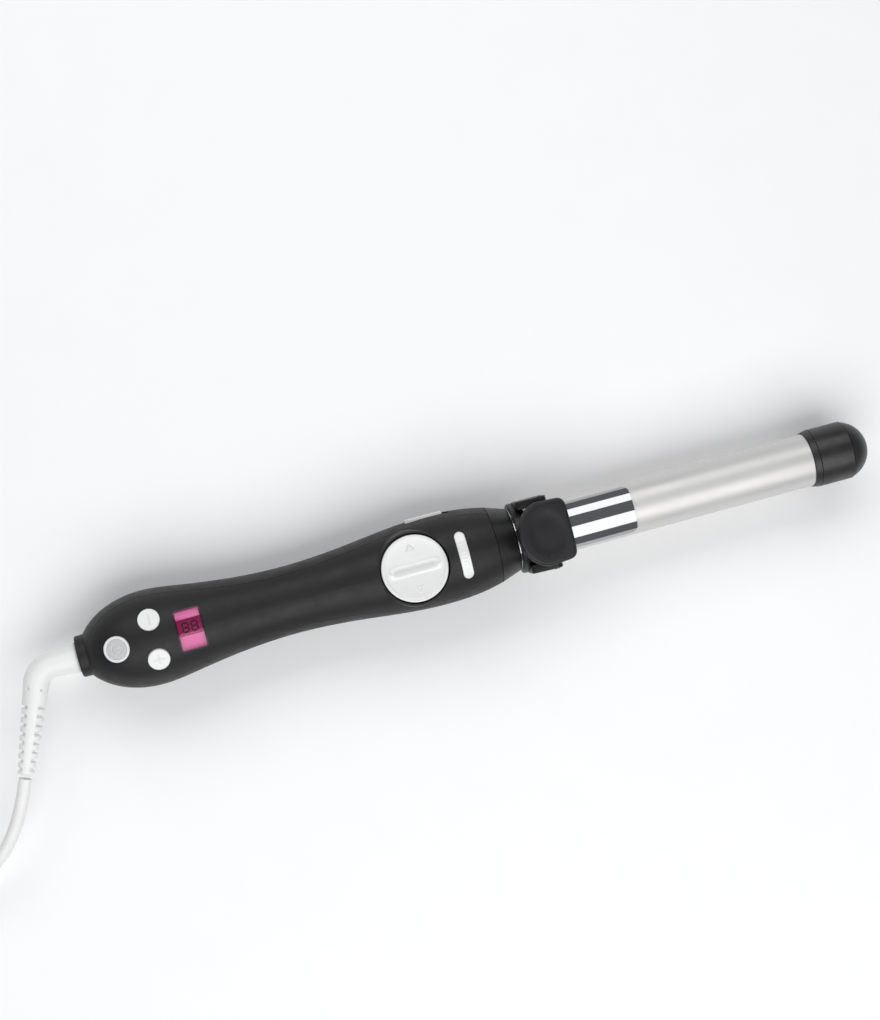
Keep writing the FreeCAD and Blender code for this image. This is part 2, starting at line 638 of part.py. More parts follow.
# ------------------------------------------------------------------------------------- cool tip
finish(cut(taper("tip_ring_rad", "tip_rad", "barrel_end", "tip_ring_end - 0.1"),
           rod("barrel_bore - 0.3", "barrel_end - 1", "tip_ring_end + 1")), "tip_ring")
tip_sleeve = fuse(cut(rod("tip_rad", "tip_ring_end", "tip_groove - 0.25"),
                      rod("tip_rad - 1.8", "tip_ring_end + 2", "tip_groove + 1")),
                  tube("barrel_bore - 0.32", "barrel_bore - 1.8", "346.5", "tip_ring_end + 0.5"))
finish(tip_sleeve, "tip_sleeve")


def tip_dome():
    """A low dome, an arc that meets the axis square, on a short plug."""
    base, edge, end = size("tip_groove"), size("dome_rad"), size("tool_length")
    rise = end - base
    radius = (rise * rise + edge * edge) / (2 * rise)
    half = Vector(end - radius * (1 - math.cos(math.asin(edge / radius) / 2)), 0,
                  radius * math.sin(math.asin(edge / radius) / 2))
    arc = Part.Arc(Vector(base, 0, edge), half, Vector(end, 0, 0)).toShape()
    wire = Part.Wire([arc, Part.makeLine(Vector(end, 0, 0), Vector(base, 0, 0)),
                      Part.makeLine(Vector(base, 0, 0), Vector(base, 0, edge))])
    dome = Part.Face(wire).revolve(Vector(), Vector(1, 0, 0), 360)
    plug = Part.makeCylinder(size("tip_rad") - 1.85, 6, Vector(base - 6, 0, 0), Vector(1, 0, 0))
    return dome.fuse(plug)


finish(free_shape(tip_dome()), "tip_dome")

# ----------------------------------------------------------------------------------- clip, lever
def clip_blade():
    """A thin trough over the top of the barrel, its front corners rounded."""
    trough = tube("blade_rad", "blade_bore", "blade_start", "blade_end")
    angle = math.radians(size("blade_half_angle"))
    height = size("blade_rad") * math.cos(angle)
    wide = size("blade_rad") * math.sin(angle)
    plan = soft_box(("blade_start - 20", "blade_end"), (-wide, wide), (height, "20"),
                    size("blade_corner"))
    return common(trough, plan)


finish(clip_blade(), "clip_blade")


def lever_outline():
    """The lever seen from above: half an ellipse behind, sides that draw in a little, and a
    straight front edge with rounded corners."""
    rear, front, half = size("lever_rear"), size("lever_front"), size("lever_half")
    corner, side = size("lever_corner"), half - size("lever_draw")
    deep = 0.52 * (front - rear)
    middle = Vector(rear + deep, 0, 0)
    widest = Vector(0, half, 0)
    ellipse = Part.Ellipse(middle + widest, middle - Vector(deep, 0, 0), middle)
    bulge = corner * (1 - math.sqrt(0.5))
    corners = []
    for sign in (-1, 1):
        corners.append([Vector(front - corner, sign * side, 0),
                        Vector(front - bulge, sign * (side - bulge), 0),
                        Vector(front, sign * (side - corner), 0)])
    right, left = corners[0], corners[1][::-1]
    return Part.Wire([Part.ArcOfEllipse(ellipse, 0, math.pi).toShape(),
                      Part.makeLine(middle - widest, right[0]), Part.Arc(*right).toShape(),
                      Part.makeLine(right[2], left[0]), Part.Arc(*left).toShape(),
                      Part.makeLine(left[2], middle + widest)])


def thumb_lever():
    """The thumb pad slopes up to the rear; two webs hang from it to the pin, and its foot sits
    on the blade."""
    rear, front, thick = size("lever_rear"), size("lever_front"), size("lever_thick")
    low_rear, low_front = size("lever_rear_height"), size("lever_front_height")
    side_view = Part.makePolygon([Vector(rear - 1, -20, low_rear), Vector(front + 1, -20, low_front),
                                  Vector(front + 1, -20, low_front + thick),
                                  Vector(rear - 1, -20, low_rear + thick),
                                  Vector(rear - 1, -20, low_rear)])
    slab = free_shape(Part.Face(side_view).extrude(Vector(0, 40, 0)))
    plan = free_shape(Part.Face(lever_outline()).extrude(Vector(0, 0, 40)))
    pad = common(slab, plan)
    webs = []
    for low, high in (("web_inner", "web_outer"), ("0 - web_outer", "0 - web_inner")):
        webs.append(block(("pin_x - 2.6", "pin_x + 4"), (low, high), ("pin_height", "21.2")))
        webs.append(cross_rod(2.6, low, high, "pin_x", "pin_height"))
    foot = block(("pin_x + 3.4", "lever_front - 0.6"), ("0 - web_outer", "web_outer"), ("9", "19.6"))
    return cut(fuse(pad, *webs, foot), rod("blade_rad", "lever_rear - 5", "lever_front + 5"),
               cross_rod("pin_rad + running_gap", "-20", "20", "pin_x", "pin_height"))


finish(thumb_lever(), "thumb_lever")
finish(solids(*[post(1.1, "blade_bore - 0.25", "15.6", "pin_x + 6", side * 3.6)
                for side in (-1, 1)]), "clip_rivets")

# ------------------------------------------------------------------------------------ mains lead
def tool_point(x, y, z):
    return Vector(x - size("tool_length") / 2, y, z + size("axis_height"))


def rounded_path(points):
    """Straight runs joined by tangent arcs, each arc as large as its two runs allow."""
    edges, here = [], points[0]
    for before, corner, after in zip(points, points[1:], points[2:]):
        arrive, leave = corner - before, after - corner
        shorter = min(arrive.Length, leave.Length)
        arrive.normalize()
        leave.normalize()
        turn = arrive.getAngle(leave)
        reach = 0.45 * shorter
        radius = reach / math.tan(turn / 2)
        print(f"cord arc radius {radius:.1f} mm, turn {math.degrees(turn):.1f} degrees")
        first, last = corner - arrive * reach, corner + leave * reach
        inward = (leave - arrive).normalize()
        middle = corner + inward * (radius / math.cos(turn / 2) - radius)
        edges += [Part.LineSegment(here, first).toShape(), Part.Arc(first, middle, last).toShape()]
        here = last
    edges.append(Part.LineSegment(here, points[-1]).toShape())
    return Part.Wire(edges)


def cord_tube(points):
    """A round tube along the path, its volume compared with its section times its length."""
    path, radius = rounded_path(points), size("cord_rad")
    ring = Part.Wire(Part.makeCircle(radius, points[0], points[1] - points[0]))
    made = path.makePipeShell([ring], True, False)
    ratio = made.Volume / (math.pi * radius * radius * path.Length)
    print(f"cord tube length {path.Length:.1f} mm, volume ratio {ratio:.4f}")
    return free_shape(made)


coil = Vector(size("coil_x"), size("coil_y"), 0)
cord_low = size("cord_rad") + 0.05
mouth = tool_point(*(Vector(size("elbow_corner"), 0, 0)
                     + leg_direction() * (size("leg_length") + 2.0)))
LEAD_IN = [mouth, Vector(-239.4, -69.7, 20.2), Vector(-260.7, -87.9, 15.4),
           Vector(-287.8, -94.9, 7.4), Vector(-317.2, -88.9, cord_low),
           Vector(-330.0, -84.6, cord_low)]
finish(cord_tube(LEAD_IN), "cord_lead_in", False)


def flat_ring(grow, low, high, soft):
    """A flat ring about the coil's centre with rounded edges."""
    half, mid = size("coil_columns") * size("cord_rad") + grow, size("coil_mid_rad")
    tall = high - low
    ring = Part.makeCylinder(mid + half, tall, coil).cut(Part.makeCylinder(mid - half, tall, coil))
    ring.translate(Vector(0, 0, low))
    rims = [edge for edge in ring.Edges if edge.BoundBox.ZLength < 0.01 and edge.Closed]
    return ring.makeFillet(soft, rims)


coil_top = 0.05 + size("coil_rows") * 2 * size("cord_rad")
finish(free_shape(flat_ring(0, 0.05, coil_top, 2.8)), "cord_coil", False)


def coil_tie():
    """A soft strap closed round the coil, on the side away from the tool."""
    band = flat_ring(0.9, 0, coil_top + 0.9, 3.5).cut(flat_ring(0.1, 0.75, coil_top + 0.1, 2.8))
    window = Part.makeBox(9, 30, 40, Vector(-4.5, size("coil_mid_rad") - 15, -5))
    window.translate(coil)
    return band.common(window)


finish(free_shape(coil_tie()), "coil_tie", False)

plug_middle = coil_top + size("plug_height") / 2
TAIL = [coil + Vector(30.0, 17.0, 15.05), coil + Vector(30.0, 4.0, 16.6),
        coil + Vector(25.2, -8.1, 19.8), coil + Vector(16.3, -17.6, 22.9),
        coil + Vector(4.5, -23.1, plug_middle)]
finish(cord_tube(TAIL), "cord_tail", False)

# The plug lies on the coil: its own frame starts where the lead enters, X towards the blades.
plug_place = FreeCAD.Placement(TAIL[-1], FreeCAD.Rotation(Vector(0, 0, 1), -155))
PLUG_FACE = 12 + size("plug_length")


def plug_body():
    """A moulded two-blade plug: a rounded block with finger hollows and a short tapered sleeve."""
    width, height, long = size("plug_width"), size("plug_height"), size("plug_length")
    box = Part.makeBox(long, width, height, Vector(12, -width / 2, -height / 2))
    box = box.makeFillet(3.0, [edge for edge in box.Edges if edge.BoundBox.XLength > 1])
    face_rim = [edge for edge in box.Edges if edge.BoundBox.XMin > PLUG_FACE - 0.01]
    box = box.makeFillet(0.8, face_rim)
    sleeve = cone_between(Vector(0.02, 0, 0), Vector(13, 0, 0), 3.7, 5.6)
    grips = [Part.makeCylinder(14, 20, Vector(25, side * (width / 2 + 12.6), -10))
             for side in (-1, 1)]
    body = free_shape(box.fuse(sleeve).cut(grips))
    body.Placement = plug_place
    return body


finish(solids(plug_body()), "plug_body", False)


def plug_blade(side, tall):
    """One flat blade, its end chamfered, standing out of the plug's face."""
    blade = Part.makeBox(17, 1.5, tall, Vector(PLUG_FACE, side * 6.35 - 0.75, -tall / 2))
    ends = [edge for edge in blade.Edges if edge.BoundBox.XMin > PLUG_FACE + 16.9
            and edge.BoundBox.ZLength < 0.01]
    made = free_shape(blade.makeChamfer(1.2, ends))
    made.Placement = plug_place
    return made


finish(solids(plug_blade(1, 6.35), plug_blade(-1, 7.95)), "plug_blades", False)

doc.recompute()
os.makedirs("parts", exist_ok=True)
faults = [f"{item.Name} is {state}" for item in doc.Objects for state in item.State
          if state in ("Invalid", "Error")]
for piece in pieces:
    if piece.Shape.isNull() or not piece.Shape.isValid() or not piece.Shape.Solids:
        faults.append(f"{piece.Label} has no valid solid")
if faults:
    raise SystemExit("\n".join(faults))
for piece in pieces:
    piece.Shape.exportStep(f"parts/{piece.Label}.step")
print(f"{len(pieces)} sub-parts written")
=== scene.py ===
import math

import bmesh
import bpy
import numpy as np
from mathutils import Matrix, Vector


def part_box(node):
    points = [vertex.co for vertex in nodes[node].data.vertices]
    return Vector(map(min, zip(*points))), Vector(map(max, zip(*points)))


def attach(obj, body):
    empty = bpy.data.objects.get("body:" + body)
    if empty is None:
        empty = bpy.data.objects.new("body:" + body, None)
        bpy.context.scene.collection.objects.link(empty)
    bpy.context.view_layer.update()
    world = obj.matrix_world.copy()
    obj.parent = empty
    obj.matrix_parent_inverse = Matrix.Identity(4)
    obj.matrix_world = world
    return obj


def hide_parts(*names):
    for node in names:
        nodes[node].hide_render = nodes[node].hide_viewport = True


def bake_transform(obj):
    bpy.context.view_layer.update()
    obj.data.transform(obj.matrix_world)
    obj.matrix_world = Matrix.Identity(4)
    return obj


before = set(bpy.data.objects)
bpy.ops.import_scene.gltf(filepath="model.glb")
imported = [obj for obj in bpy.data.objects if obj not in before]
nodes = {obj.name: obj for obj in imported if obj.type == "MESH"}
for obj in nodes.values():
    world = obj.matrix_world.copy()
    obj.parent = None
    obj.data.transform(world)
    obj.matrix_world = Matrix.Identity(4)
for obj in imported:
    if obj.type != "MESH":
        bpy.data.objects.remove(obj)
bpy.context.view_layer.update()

# --------------------------------------------------------------------------------- table and lights
# The curler lies on a pale table top and is looked at from almost straight above. Two long soft
# boxes stand either side of it with a dark gap between them, which draws the bands in the chrome.
scene = bpy.context.scene
scene.view_settings.view_transform = "Standard"
world = bpy.data.worlds.new("studio")
world.use_nodes = True
world.node_tree.nodes["Background"].inputs["Color"].default_value = (0.93, 0.95, 1.0, 1)
world.node_tree.nodes["Background"].inputs["Strength"].default_value = 0.24
scene.world = world

lens = bpy.data.cameras.new("camera")
lens.lens = 70.11
camera = bpy.data.objects.new("camera", lens)
camera.location = (-0.1182, 0.0561, 0.9464)
camera.rotation_euler = [math.radians(angle) for angle in (-0.368, -6.733, -14.865)]
scene.collection.objects.link(camera)
scene.camera = camera


def soft_box(name, lean, width, length, watts, distance=0.95, along=-0.02):
    """A rectangular light at a lean from the vertical, about the tool's axis, facing the tool."""
    light = bpy.data.lights.new(name, "AREA")
    light.shape, light.size, light.size_y, light.energy = "RECTANGLE", length, width, watts
    lamp = bpy.data.objects.new(name, light)
    lean = math.radians(lean)
    lamp.location = (along, math.sin(lean) * distance, math.cos(lean) * distance)
    lamp.rotation_euler = (-lean, 0, 0)
    lamp.visible_camera = False
    scene.collection.objects.link(lamp)


soft_box("left_soft_box", 46, 0.50, 1.5, 5.0)
soft_box("right_soft_box", -33, 0.80, 1.5, 8.5)

table_mesh = bpy.data.meshes.new("table_top")
table_mesh.from_pydata([(-2, -2, 0), (2, -2, 0), (2, 2, 0), (-2, 2, 0)], [], [(0, 1, 2, 3)])
table_top = bpy.data.objects.new("table_top", table_mesh)
scene.collection.objects.link(table_top)


# A finish is a shader of its own kind with a grain that every moulded, coated or drawn surface
# shows: fine bumps, a slow change of tone, and the faint smears that handling leaves.
def surface_grain():
    """A node group on Object coordinates: a fine height, a slow tone and a middling smear."""
    group = bpy.data.node_groups.new("surface_grain", "ShaderNodeTree")
    for name, kind, way in (("Grain", "NodeSocketFloat", "INPUT"),
                            ("Stretch", "NodeSocketVector", "INPUT"),
                            ("Height", "NodeSocketFloat", "OUTPUT"),
                            ("Tone", "NodeSocketFloat", "OUTPUT"),
                            ("Smear", "NodeSocketFloat", "OUTPUT")):
        group.interface.new_socket(name=name, in_out=way, socket_type=kind)
    add, join = group.nodes.new, group.links.new
    given, made = add("NodeGroupInput"), add("NodeGroupOutput")
    place, spread = add("ShaderNodeTexCoord"), add("ShaderNodeVectorMath")
    spread.operation = "MULTIPLY"
    join(place.outputs["Object"], spread.inputs[0])
    join(given.outputs["Stretch"], spread.inputs[1])
    fine = add("ShaderNodeTexNoise")
    fine.inputs["Detail"].default_value = 3.0
    join(spread.outputs["Vector"], fine.inputs["Vector"])
    join(given.outputs["Grain"], fine.inputs["Scale"])
    join(fine.outputs["Fac"], made.inputs["Height"])
    for output, scale, detail in (("Tone", 38.0, 2.0), ("Smear", 150.0, 5.0)):
        slow = add("ShaderNodeTexNoise")
        slow.inputs["Scale"].default_value = scale
        slow.inputs["Detail"].default_value = detail
        join(spread.outputs["Vector"], slow.inputs["Vector"])
        join(slow.outputs["Fac"], made.inputs[output])
    return group


grain_group = surface_grain()


def finish(name, dark, light, rough, grain=2600.0, depth=0.00001, stretch=(1, 1, 1), metal=0.0,
           coat=0.0, glow=0.0, gloss=0.5):
    """A material whose colour runs from dark to light with the grain's tone, whose roughness runs
    between two values with its smear, and whose bumps are its height times depth in metres.
    Gloss is the strength of the plain reflection: 0.5 is an index of 1.5."""
    material = bpy.data.materials.new(name)
    material.use_nodes = True
    tree = material.node_tree
    add, join = tree.nodes.new, tree.links.new
    shader = tree.nodes["Principled BSDF"]
    shader.inputs["Metallic"].default_value = metal
    shader.inputs["Specular IOR Level"].default_value = gloss
    shader.inputs["Coat Weight"].default_value = coat
    shader.inputs["Coat Roughness"].default_value = 0.12
    shader.inputs["Emission Strength"].default_value = glow
    texture = add("ShaderNodeGroup")
    texture.node_tree = grain_group
    texture.inputs["Grain"].default_value = grain
    texture.inputs["Stretch"].default_value = stretch
    colour, shine, bump = add("ShaderNodeMix"), add("ShaderNodeMapRange"), add("ShaderNodeBump")
    colour.data_type = "RGBA"
    tints = [socket for socket in colour.inputs if socket.type == "RGBA"]
    tints[0].default_value, tints[1].default_value = (*dark, 1), (*light, 1)
    colour_out = next(socket for socket in colour.outputs if socket.type == "RGBA")
    join(texture.outputs["Tone"], colour.inputs["Factor"])
    join(colour_out, shader.inputs["Base Color"])
    if glow:
        join(colour_out, shader.inputs["Emission Color"])
    shine.inputs["From Min"].default_value, shine.inputs["From Max"].default_value = 0.3, 0.7
    shine.inputs["To Min"].default_value, shine.inputs["To Max"].default_value = rough
    join(texture.outputs["Smear"], shine.inputs["Value"])
    join(shine.outputs["Result"], shader.inputs["Roughness"])
    bump.inputs["Strength"].default_value = 1.0
    bump.inputs["Distance"].default_value = depth
    join(texture.outputs["Height"], bump.inputs["Height"])
    join(bump.outputs["Normal"], shader.inputs["Normal"])
    return material


table_mesh.materials.append(finish("pale_table", (0.93, 0.93, 0.93), (0.95, 0.95, 0.95),
                                   (0.75, 0.9), grain=400.0, depth=0.00002))

# --------------------------------------------------------------------------------------- mains lead
# A round two-core lead in white vinyl, 6 mm across. It leaves the elbow, comes down to the table
# and is wound into a tied coil, three turns wide and three high, with its plug lying on top.
white_vinyl = finish("white_vinyl", (0.80, 0.80, 0.79), (0.88, 0.88, 0.87), (0.36, 0.5),
                     grain=1400.0, depth=0.000006)
cord_radius = 0.003
coil_low, coil_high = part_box("cord_coil")
coil_centre = (coil_low + coil_high) / 2
lead_in = [(-0.23061, -0.04749, 0.0209), (-0.2394, -0.0697, 0.0202), (-0.2607, -0.0879, 0.0154),
           (-0.2878, -0.0949, 0.0074)]
tail = [(0.030, 0.004, 0.0166), (0.0252, -0.0081, 0.0198), (0.0163, -0.0176, 0.0229),
        (0.0045, -0.0231, 0.02455)]

# Each turn keeps one place in the stack and moves to the next over its last part. The spline runs
# inside its control points, so they stand a little further out than the turns.
turn_radii = np.array([42, 36, 30, 30, 36, 42, 42, 36, 30]) / 1000
turn_heights = np.array([3.05, 3.05, 3.05, 9.05, 9.05, 9.05, 15.05, 15.05, 15.05]) / 1000
points_a_turn, kept_share = 18, 0.72
first_angle, last_angle = math.radians(-100), math.radians(27 - 9 * 360)
steps = int((first_angle - last_angle) / (2 * math.pi) * points_a_turn)
angle = np.linspace(first_angle, last_angle, steps)
turned = (first_angle - angle) / (2 * math.pi)
turn = np.minimum(turned.astype(int), len(turn_radii) - 1)
following = np.minimum(turn + 1, len(turn_radii) - 1)
shift = np.clip((turned - turn - kept_share) / (1 - kept_share), 0, 1)
shift = shift * shift * (3 - 2 * shift)
outwards = 1 / math.cos(math.pi / points_a_turn) ** 0.75
radius = (turn_radii[turn] * (1 - shift) + turn_radii[following] * shift) * outwards
height = turn_heights[turn] * (1 - shift) + turn_heights[following] * shift
coil = np.stack([coil_centre.x + radius * np.cos(angle), coil_centre.y + radius * np.sin(angle),
                 height], axis=1)
route = [*lead_in, *coil.tolist(),
         *[(coil_centre.x + x, coil_centre.y + y, z) for x, y, z in tail]]

route_curve = bpy.data.curves.new("lead_route", "CURVE")
route_curve.dimensions = "3D"
route_curve.resolution_u = 6
spline = route_curve.splines.new("NURBS")
spline.points.add(len(route) - 1)
spline.points.foreach_set("co", np.c_[np.array(route), np.ones(len(route))].ravel())
spline.order_u = 3
spline.use_endpoint_u = True
route_object = bpy.data.objects.new("lead_route", route_curve)
scene.collection.objects.link(route_object)
line_mesh = bpy.data.meshes.new_from_object(route_object)
line = np.zeros(len(line_mesh.vertices) * 3)
line_mesh.vertices.foreach_get("co", line)
line = line.reshape(-1, 3)
bpy.data.objects.remove(route_object)


def lattice(rows, columns, closed_rows=False, closed_columns=True):
    """The quads between the points of a grid that is counted row by row."""
    row = np.arange(rows if closed_rows else rows - 1)[:, None]
    column = np.arange(columns if closed_columns else columns - 1)[None, :]
    next_row, next_column = (row + 1) % rows, (column + 1) % columns
    quads = [row * columns + column, row * columns + next_column,
             next_row * columns + next_column, next_row * columns + column]
    return np.stack(quads, axis=-1).reshape(-1, 4).tolist()


def add_piece(name, shells, material, body, stands_for=(), crease=38):
    """Joins shells, each (points in metres, faces), into one closed mesh with outward normals."""
    points, faces = [], []
    for shell_points, shell_faces in shells:
        start = sum(len(earlier) for earlier in points)
        points.append(np.asarray(shell_points).reshape(-1, 3))
        faces += [[start + corner for corner in face] for face in shell_faces]
    mesh = bpy.data.meshes.new(name)
    mesh.from_pydata(np.concatenate(points).tolist(), [], faces)
    editable = bmesh.new()
    editable.from_mesh(mesh)
    bmesh.ops.remove_doubles(editable, verts=editable.verts, dist=1e-7)
    bmesh.ops.recalc_face_normals(editable, faces=editable.faces)
    editable.to_mesh(mesh)
    editable.free()
    mesh.shade_smooth()
    mesh.set_sharp_from_angle(angle=math.radians(crease))
    mesh.materials.append(material)
    made = bpy.data.objects.new(name, mesh)
    scene.collection.objects.link(made)
    if body:
        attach(made, body)
    if stands_for:
        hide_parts(*stands_for)
    return made


def tube_along(path, tube_radius, around=16):
    """A round tube: P(s, a) = c(s) + r (cos a n + sin a b), whose n and b are square to the path.
    n is the upright turned square to the path, which never stands upright itself."""
    ahead = np.gradient(path, axis=0)
    ahead /= np.linalg.norm(ahead, axis=1, keepdims=True)
    side = np.cross(ahead, (0, 0, 1))
    side /= np.linalg.norm(side, axis=1, keepdims=True)
    above = np.cross(side, ahead)
    a = np.linspace(0, 2 * math.pi, around, endpoint=False)[None, :, None]
    tube = path[:, None] + tube_radius * (np.cos(a) * side[:, None] + np.sin(a) * above[:, None])
    caps = [list(range(around))[::-1], list(range((len(path) - 1) * around, len(path) * around))]
    return tube, lattice(len(path), around) + caps


lead = add_piece("mains_lead", [tube_along(line, cord_radius)], white_vinyl, None,
                 stands_for=("cord_lead_in", "cord_coil", "cord_tail"))
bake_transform(lead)

# The tie is a soft black strap closed round all nine turns. Its free end, laid over itself, is not
# drawn.
tie_black = finish("tie_black", (0.018, 0.018, 0.02), (0.035, 0.035, 0.038), (0.6, 0.8),
                   grain=3200.0, depth=0.00004)


def soften(corners, amount, smooth=6, closed=True):
    """Rounds an outline's corners: each becomes P(t) = (1-t)^2 A + 2t(1-t) C + t^2 B, where A and
    B lie an amount before and after the corner C, and at most 0.45 of the side that they are on."""
    corners = np.asarray(corners, float)
    amounts = np.broadcast_to(np.asarray(amount, float).reshape(-1, 1), (len(corners), 1))

    def point_towards(neighbour):
        way = neighbour - corners
        distance = np.maximum(np.linalg.norm(way, axis=1, keepdims=True), 1e-9)
        return corners + way / distance * np.minimum(amounts, 0.45 * distance)

    t = np.linspace(0, 1, smooth)[None, :, None]
    before, after = (point_towards(np.roll(corners, step, 0))[:, None] for step in (1, -1))
    curve = (1 - t) ** 2 * before + 2 * t * (1 - t) * corners[:, None] + t ** 2 * after
    if closed:
        return curve.reshape(-1, corners.shape[1])
    return np.concatenate([corners[:1], curve[1:-1].reshape(-1, corners.shape[1]), corners[-1:]])


def strap_round_coil(width, thickness):
    """A closed band whose section is carried round a softened rectangle in the coil's own section:
    P(u, v) = loop(u) + outward(u) x(v), moved y(v) along the turns."""
    slack, lift = 0.0002, 0.0001
    middle = (turn_radii.min() + turn_radii.max()) / 2
    half = (turn_radii.max() - turn_radii.min()) / 2 + cord_radius + slack
    loop = soften([(middle - half, lift), (middle + half, lift),
                   (middle + half, coil_high.z), (middle - half, coil_high.z)], 0.004, 10)
    ahead = np.roll(loop, -1, 0) - np.roll(loop, 1, 0)
    outward = np.stack([ahead[:, 1], -ahead[:, 0]], 1)
    outward /= np.linalg.norm(outward, axis=1, keepdims=True)
    section = soften([(0, -width / 2), (thickness, -width / 2), (thickness, width / 2),
                      (0, width / 2)], thickness * 0.4, 4)
    radial = loop[:, None] + outward[:, None] * section[None, :, :1]
    along = np.broadcast_to(section[None, :, 1], radial.shape[:2])
    points = np.stack([coil_centre.x + along, coil_centre.y + radial[..., 0],
                       np.maximum(radial[..., 1], 0.00005)], -1)
    return points, lattice(len(loop), len(section), closed_rows=True)


tie = add_piece("coil_tie_strap", [strap_round_coil(0.009, 0.0007)], tie_black, "handle",
                stands_for=("coil_tie",))

# The plug is moulded onto the lead in the same vinyl, with two flat brass blades pressed into it.
brass = finish("plain_brass", (0.62, 0.44, 0.17), (0.72, 0.53, 0.24), (0.22, 0.36), metal=1.0,
               grain=900.0, depth=0.000002, stretch=(1, 6, 6))


def dress(names, material):
    """Gives CAD nodes their finish."""
    for name in names:
        for place in nodes[name].material_slots:
            place.material = material


dress(["plug_body"], white_vinyl)
dress(["plug_blades"], brass)

# The strain relief is a soft vinyl elbow that turns in the rear collar. Its leg tapers and is
# slotted from both sides in turn, so that it bends evenly, and two pin marks show at the bend.
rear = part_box("rear_collar")[0].x
barrel_low, barrel_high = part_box("barrel_tube")
axis_height = (barrel_low.z + barrel_high.z) / 2


def at_tool(points):
    """From the tool's own millimetres (x from the rear collar's face, y, height over the axis)."""
    return np.asarray(points, float) / 1000 + np.array([rear, 0, axis_height])


elbow_turn, bend_radius, leg_length = math.radians(68.6), 9.5, 49.0
root_radius, elbow_radius, end_radius = 7.05, 6.05, 3.9


def elbow():
    """A tube along root, bend and leg. With s the distance along and a the angle round, its radius
    is R(s) less a groove G(s) where |cos a| is large, out of step on the two sides, and less two
    small round pits."""
    tangent = bend_radius * math.tan(elbow_turn / 2)
    root_x, corner_x = -0.6, -19.0
    leg_way = np.array([-math.cos(elbow_turn), -math.sin(elbow_turn)])
    root_length, bend_length = root_x - (corner_x + tangent), bend_radius * elbow_turn
    total = root_length + bend_length + leg_length - tangent
    s = np.linspace(0, total, 460)
    bent = np.clip((s - root_length) / bend_radius, 0, elbow_turn)
    x = root_x - np.minimum(s, root_length) - bend_radius * np.sin(bent)
    y = -bend_radius * (1 - np.cos(bent))
    leg = np.maximum(s - root_length - bend_length, 0)
    centre = np.stack([x + leg * leg_way[0], y + leg * leg_way[1], 0 * s], 1)
    side = np.stack([-np.sin(bent), np.cos(bent), 0 * s], 1)

    plain = np.interp(s, [0, root_length, root_length + bend_length, total],
                      [root_radius, elbow_radius, elbow_radius, end_radius])
    plain = plain - 0.5 * np.clip((s - total + 0.8) / 0.8, 0, 1) ** 2
    around = 96
    a = np.linspace(0, 2 * math.pi, around, endpoint=False)
    pitch, slots, first_slot, slot_half, slot_depth = 4.1, 8, 2.2, 0.72, 1.5
    mark_past_bend, mark_radius, mark_depth = 3.0, 0.55, 1.5
    from_end = (total - s)[:, None]
    which = np.where(np.cos(a) > 0, 0.0, 0.15)[None, :]
    phase = (from_end - first_slot) / pitch - which
    near = np.abs(phase - np.clip(np.round(phase), 0, slots - 1)) * pitch
    groove = 1 / (1 + np.exp((near - slot_half) / 0.09))
    reach = np.clip((np.abs(np.cos(a)) - 0.42) / 0.2, 0, 1)[None, :]
    depth = slot_depth * groove * reach * reach * (3 - 2 * reach)
    for mark_angle in (math.radians(57), math.radians(123)):
        gap = np.hypot(s[:, None] - root_length - bend_length - mark_past_bend,
                       (a[None, :] - mark_angle) * elbow_radius)
        depth = depth + mark_depth / (1 + np.exp((gap - mark_radius) / 0.05))
    r = (plain[:, None] - depth)[..., None]
    above = np.array([0, 0, 1.0])
    tube = centre[:, None] + r * (np.cos(a)[None, :, None] * side[:, None]
                                  + np.sin(a)[None, :, None] * above)
    mouth = centre[-1] + (cord_radius * 1000 + 0.05) * (np.cos(a)[:, None] * side[-1]
                                                     + np.sin(a)[:, None] * above)
    deep = mouth - 6 * np.array([*leg_way, 0])
    rows = np.concatenate([tube, mouth[None], deep[None]])
    caps = [list(range(around))[::-1],
            list(range((len(rows) - 1) * around, len(rows) * around))]
    return at_tool(rows), lattice(len(rows), around) + caps


strain_relief = add_piece("strain_relief_elbow", [elbow()], white_vinyl, "cord_swivel",
                          stands_for=("strain_relief",), crease=55)

# ------------------------------------------------------------------------------------ handle casing
# The casing is two shells moulded in charcoal with a fine spark grain, joined along the waist by
# two screws from below. A smoother black nose closes the front, and a collar the rear.
charcoal = finish("charcoal_shell", (0.0095, 0.0095, 0.0102), (0.0145, 0.0145, 0.0155),
                  (0.40, 0.54), grain=2300.0, depth=0.00007, gloss=0.33)
black_satin = finish("black_satin", (0.007, 0.007, 0.0075), (0.012, 0.012, 0.013), (0.3, 0.42),
                     grain=1800.0, depth=0.000008, gloss=0.4)
steel = finish("turned_steel", (0.46, 0.46, 0.47), (0.58, 0.58, 0.59), (0.24, 0.38), metal=1.0,
               grain=1100.0, depth=0.000002, stretch=(1, 5, 5))
dress(["handle_lower_shell", "handle_top_cover"], charcoal)
dress(["nose_cone"], black_satin)
dress(["case_screws"], steel)


def turned_piece(profile, around=128, closed=True):
    """A profile of (distance along, radius) in millimetres turned about the tool's axis:
    P(u, a) = (x(u), r(u) cos a, r(u) sin a)."""
    profile = np.asarray(profile, float)
    a = np.linspace(0, 2 * math.pi, around, endpoint=False)
    points = np.stack(np.broadcast_arrays(profile[:, :1], profile[:, 1:] * np.cos(a),
                                          profile[:, 1:] * np.sin(a)), -1)
    return at_tool(points), lattice(len(profile), around, closed_rows=closed)


def tool_span(node):
    """Where a node starts and ends along the tool, and its radius, in millimetres."""
    low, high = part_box(node)
    return (low.x - rear) * 1000, (high.x - rear) * 1000, (high.y - low.y) * 500


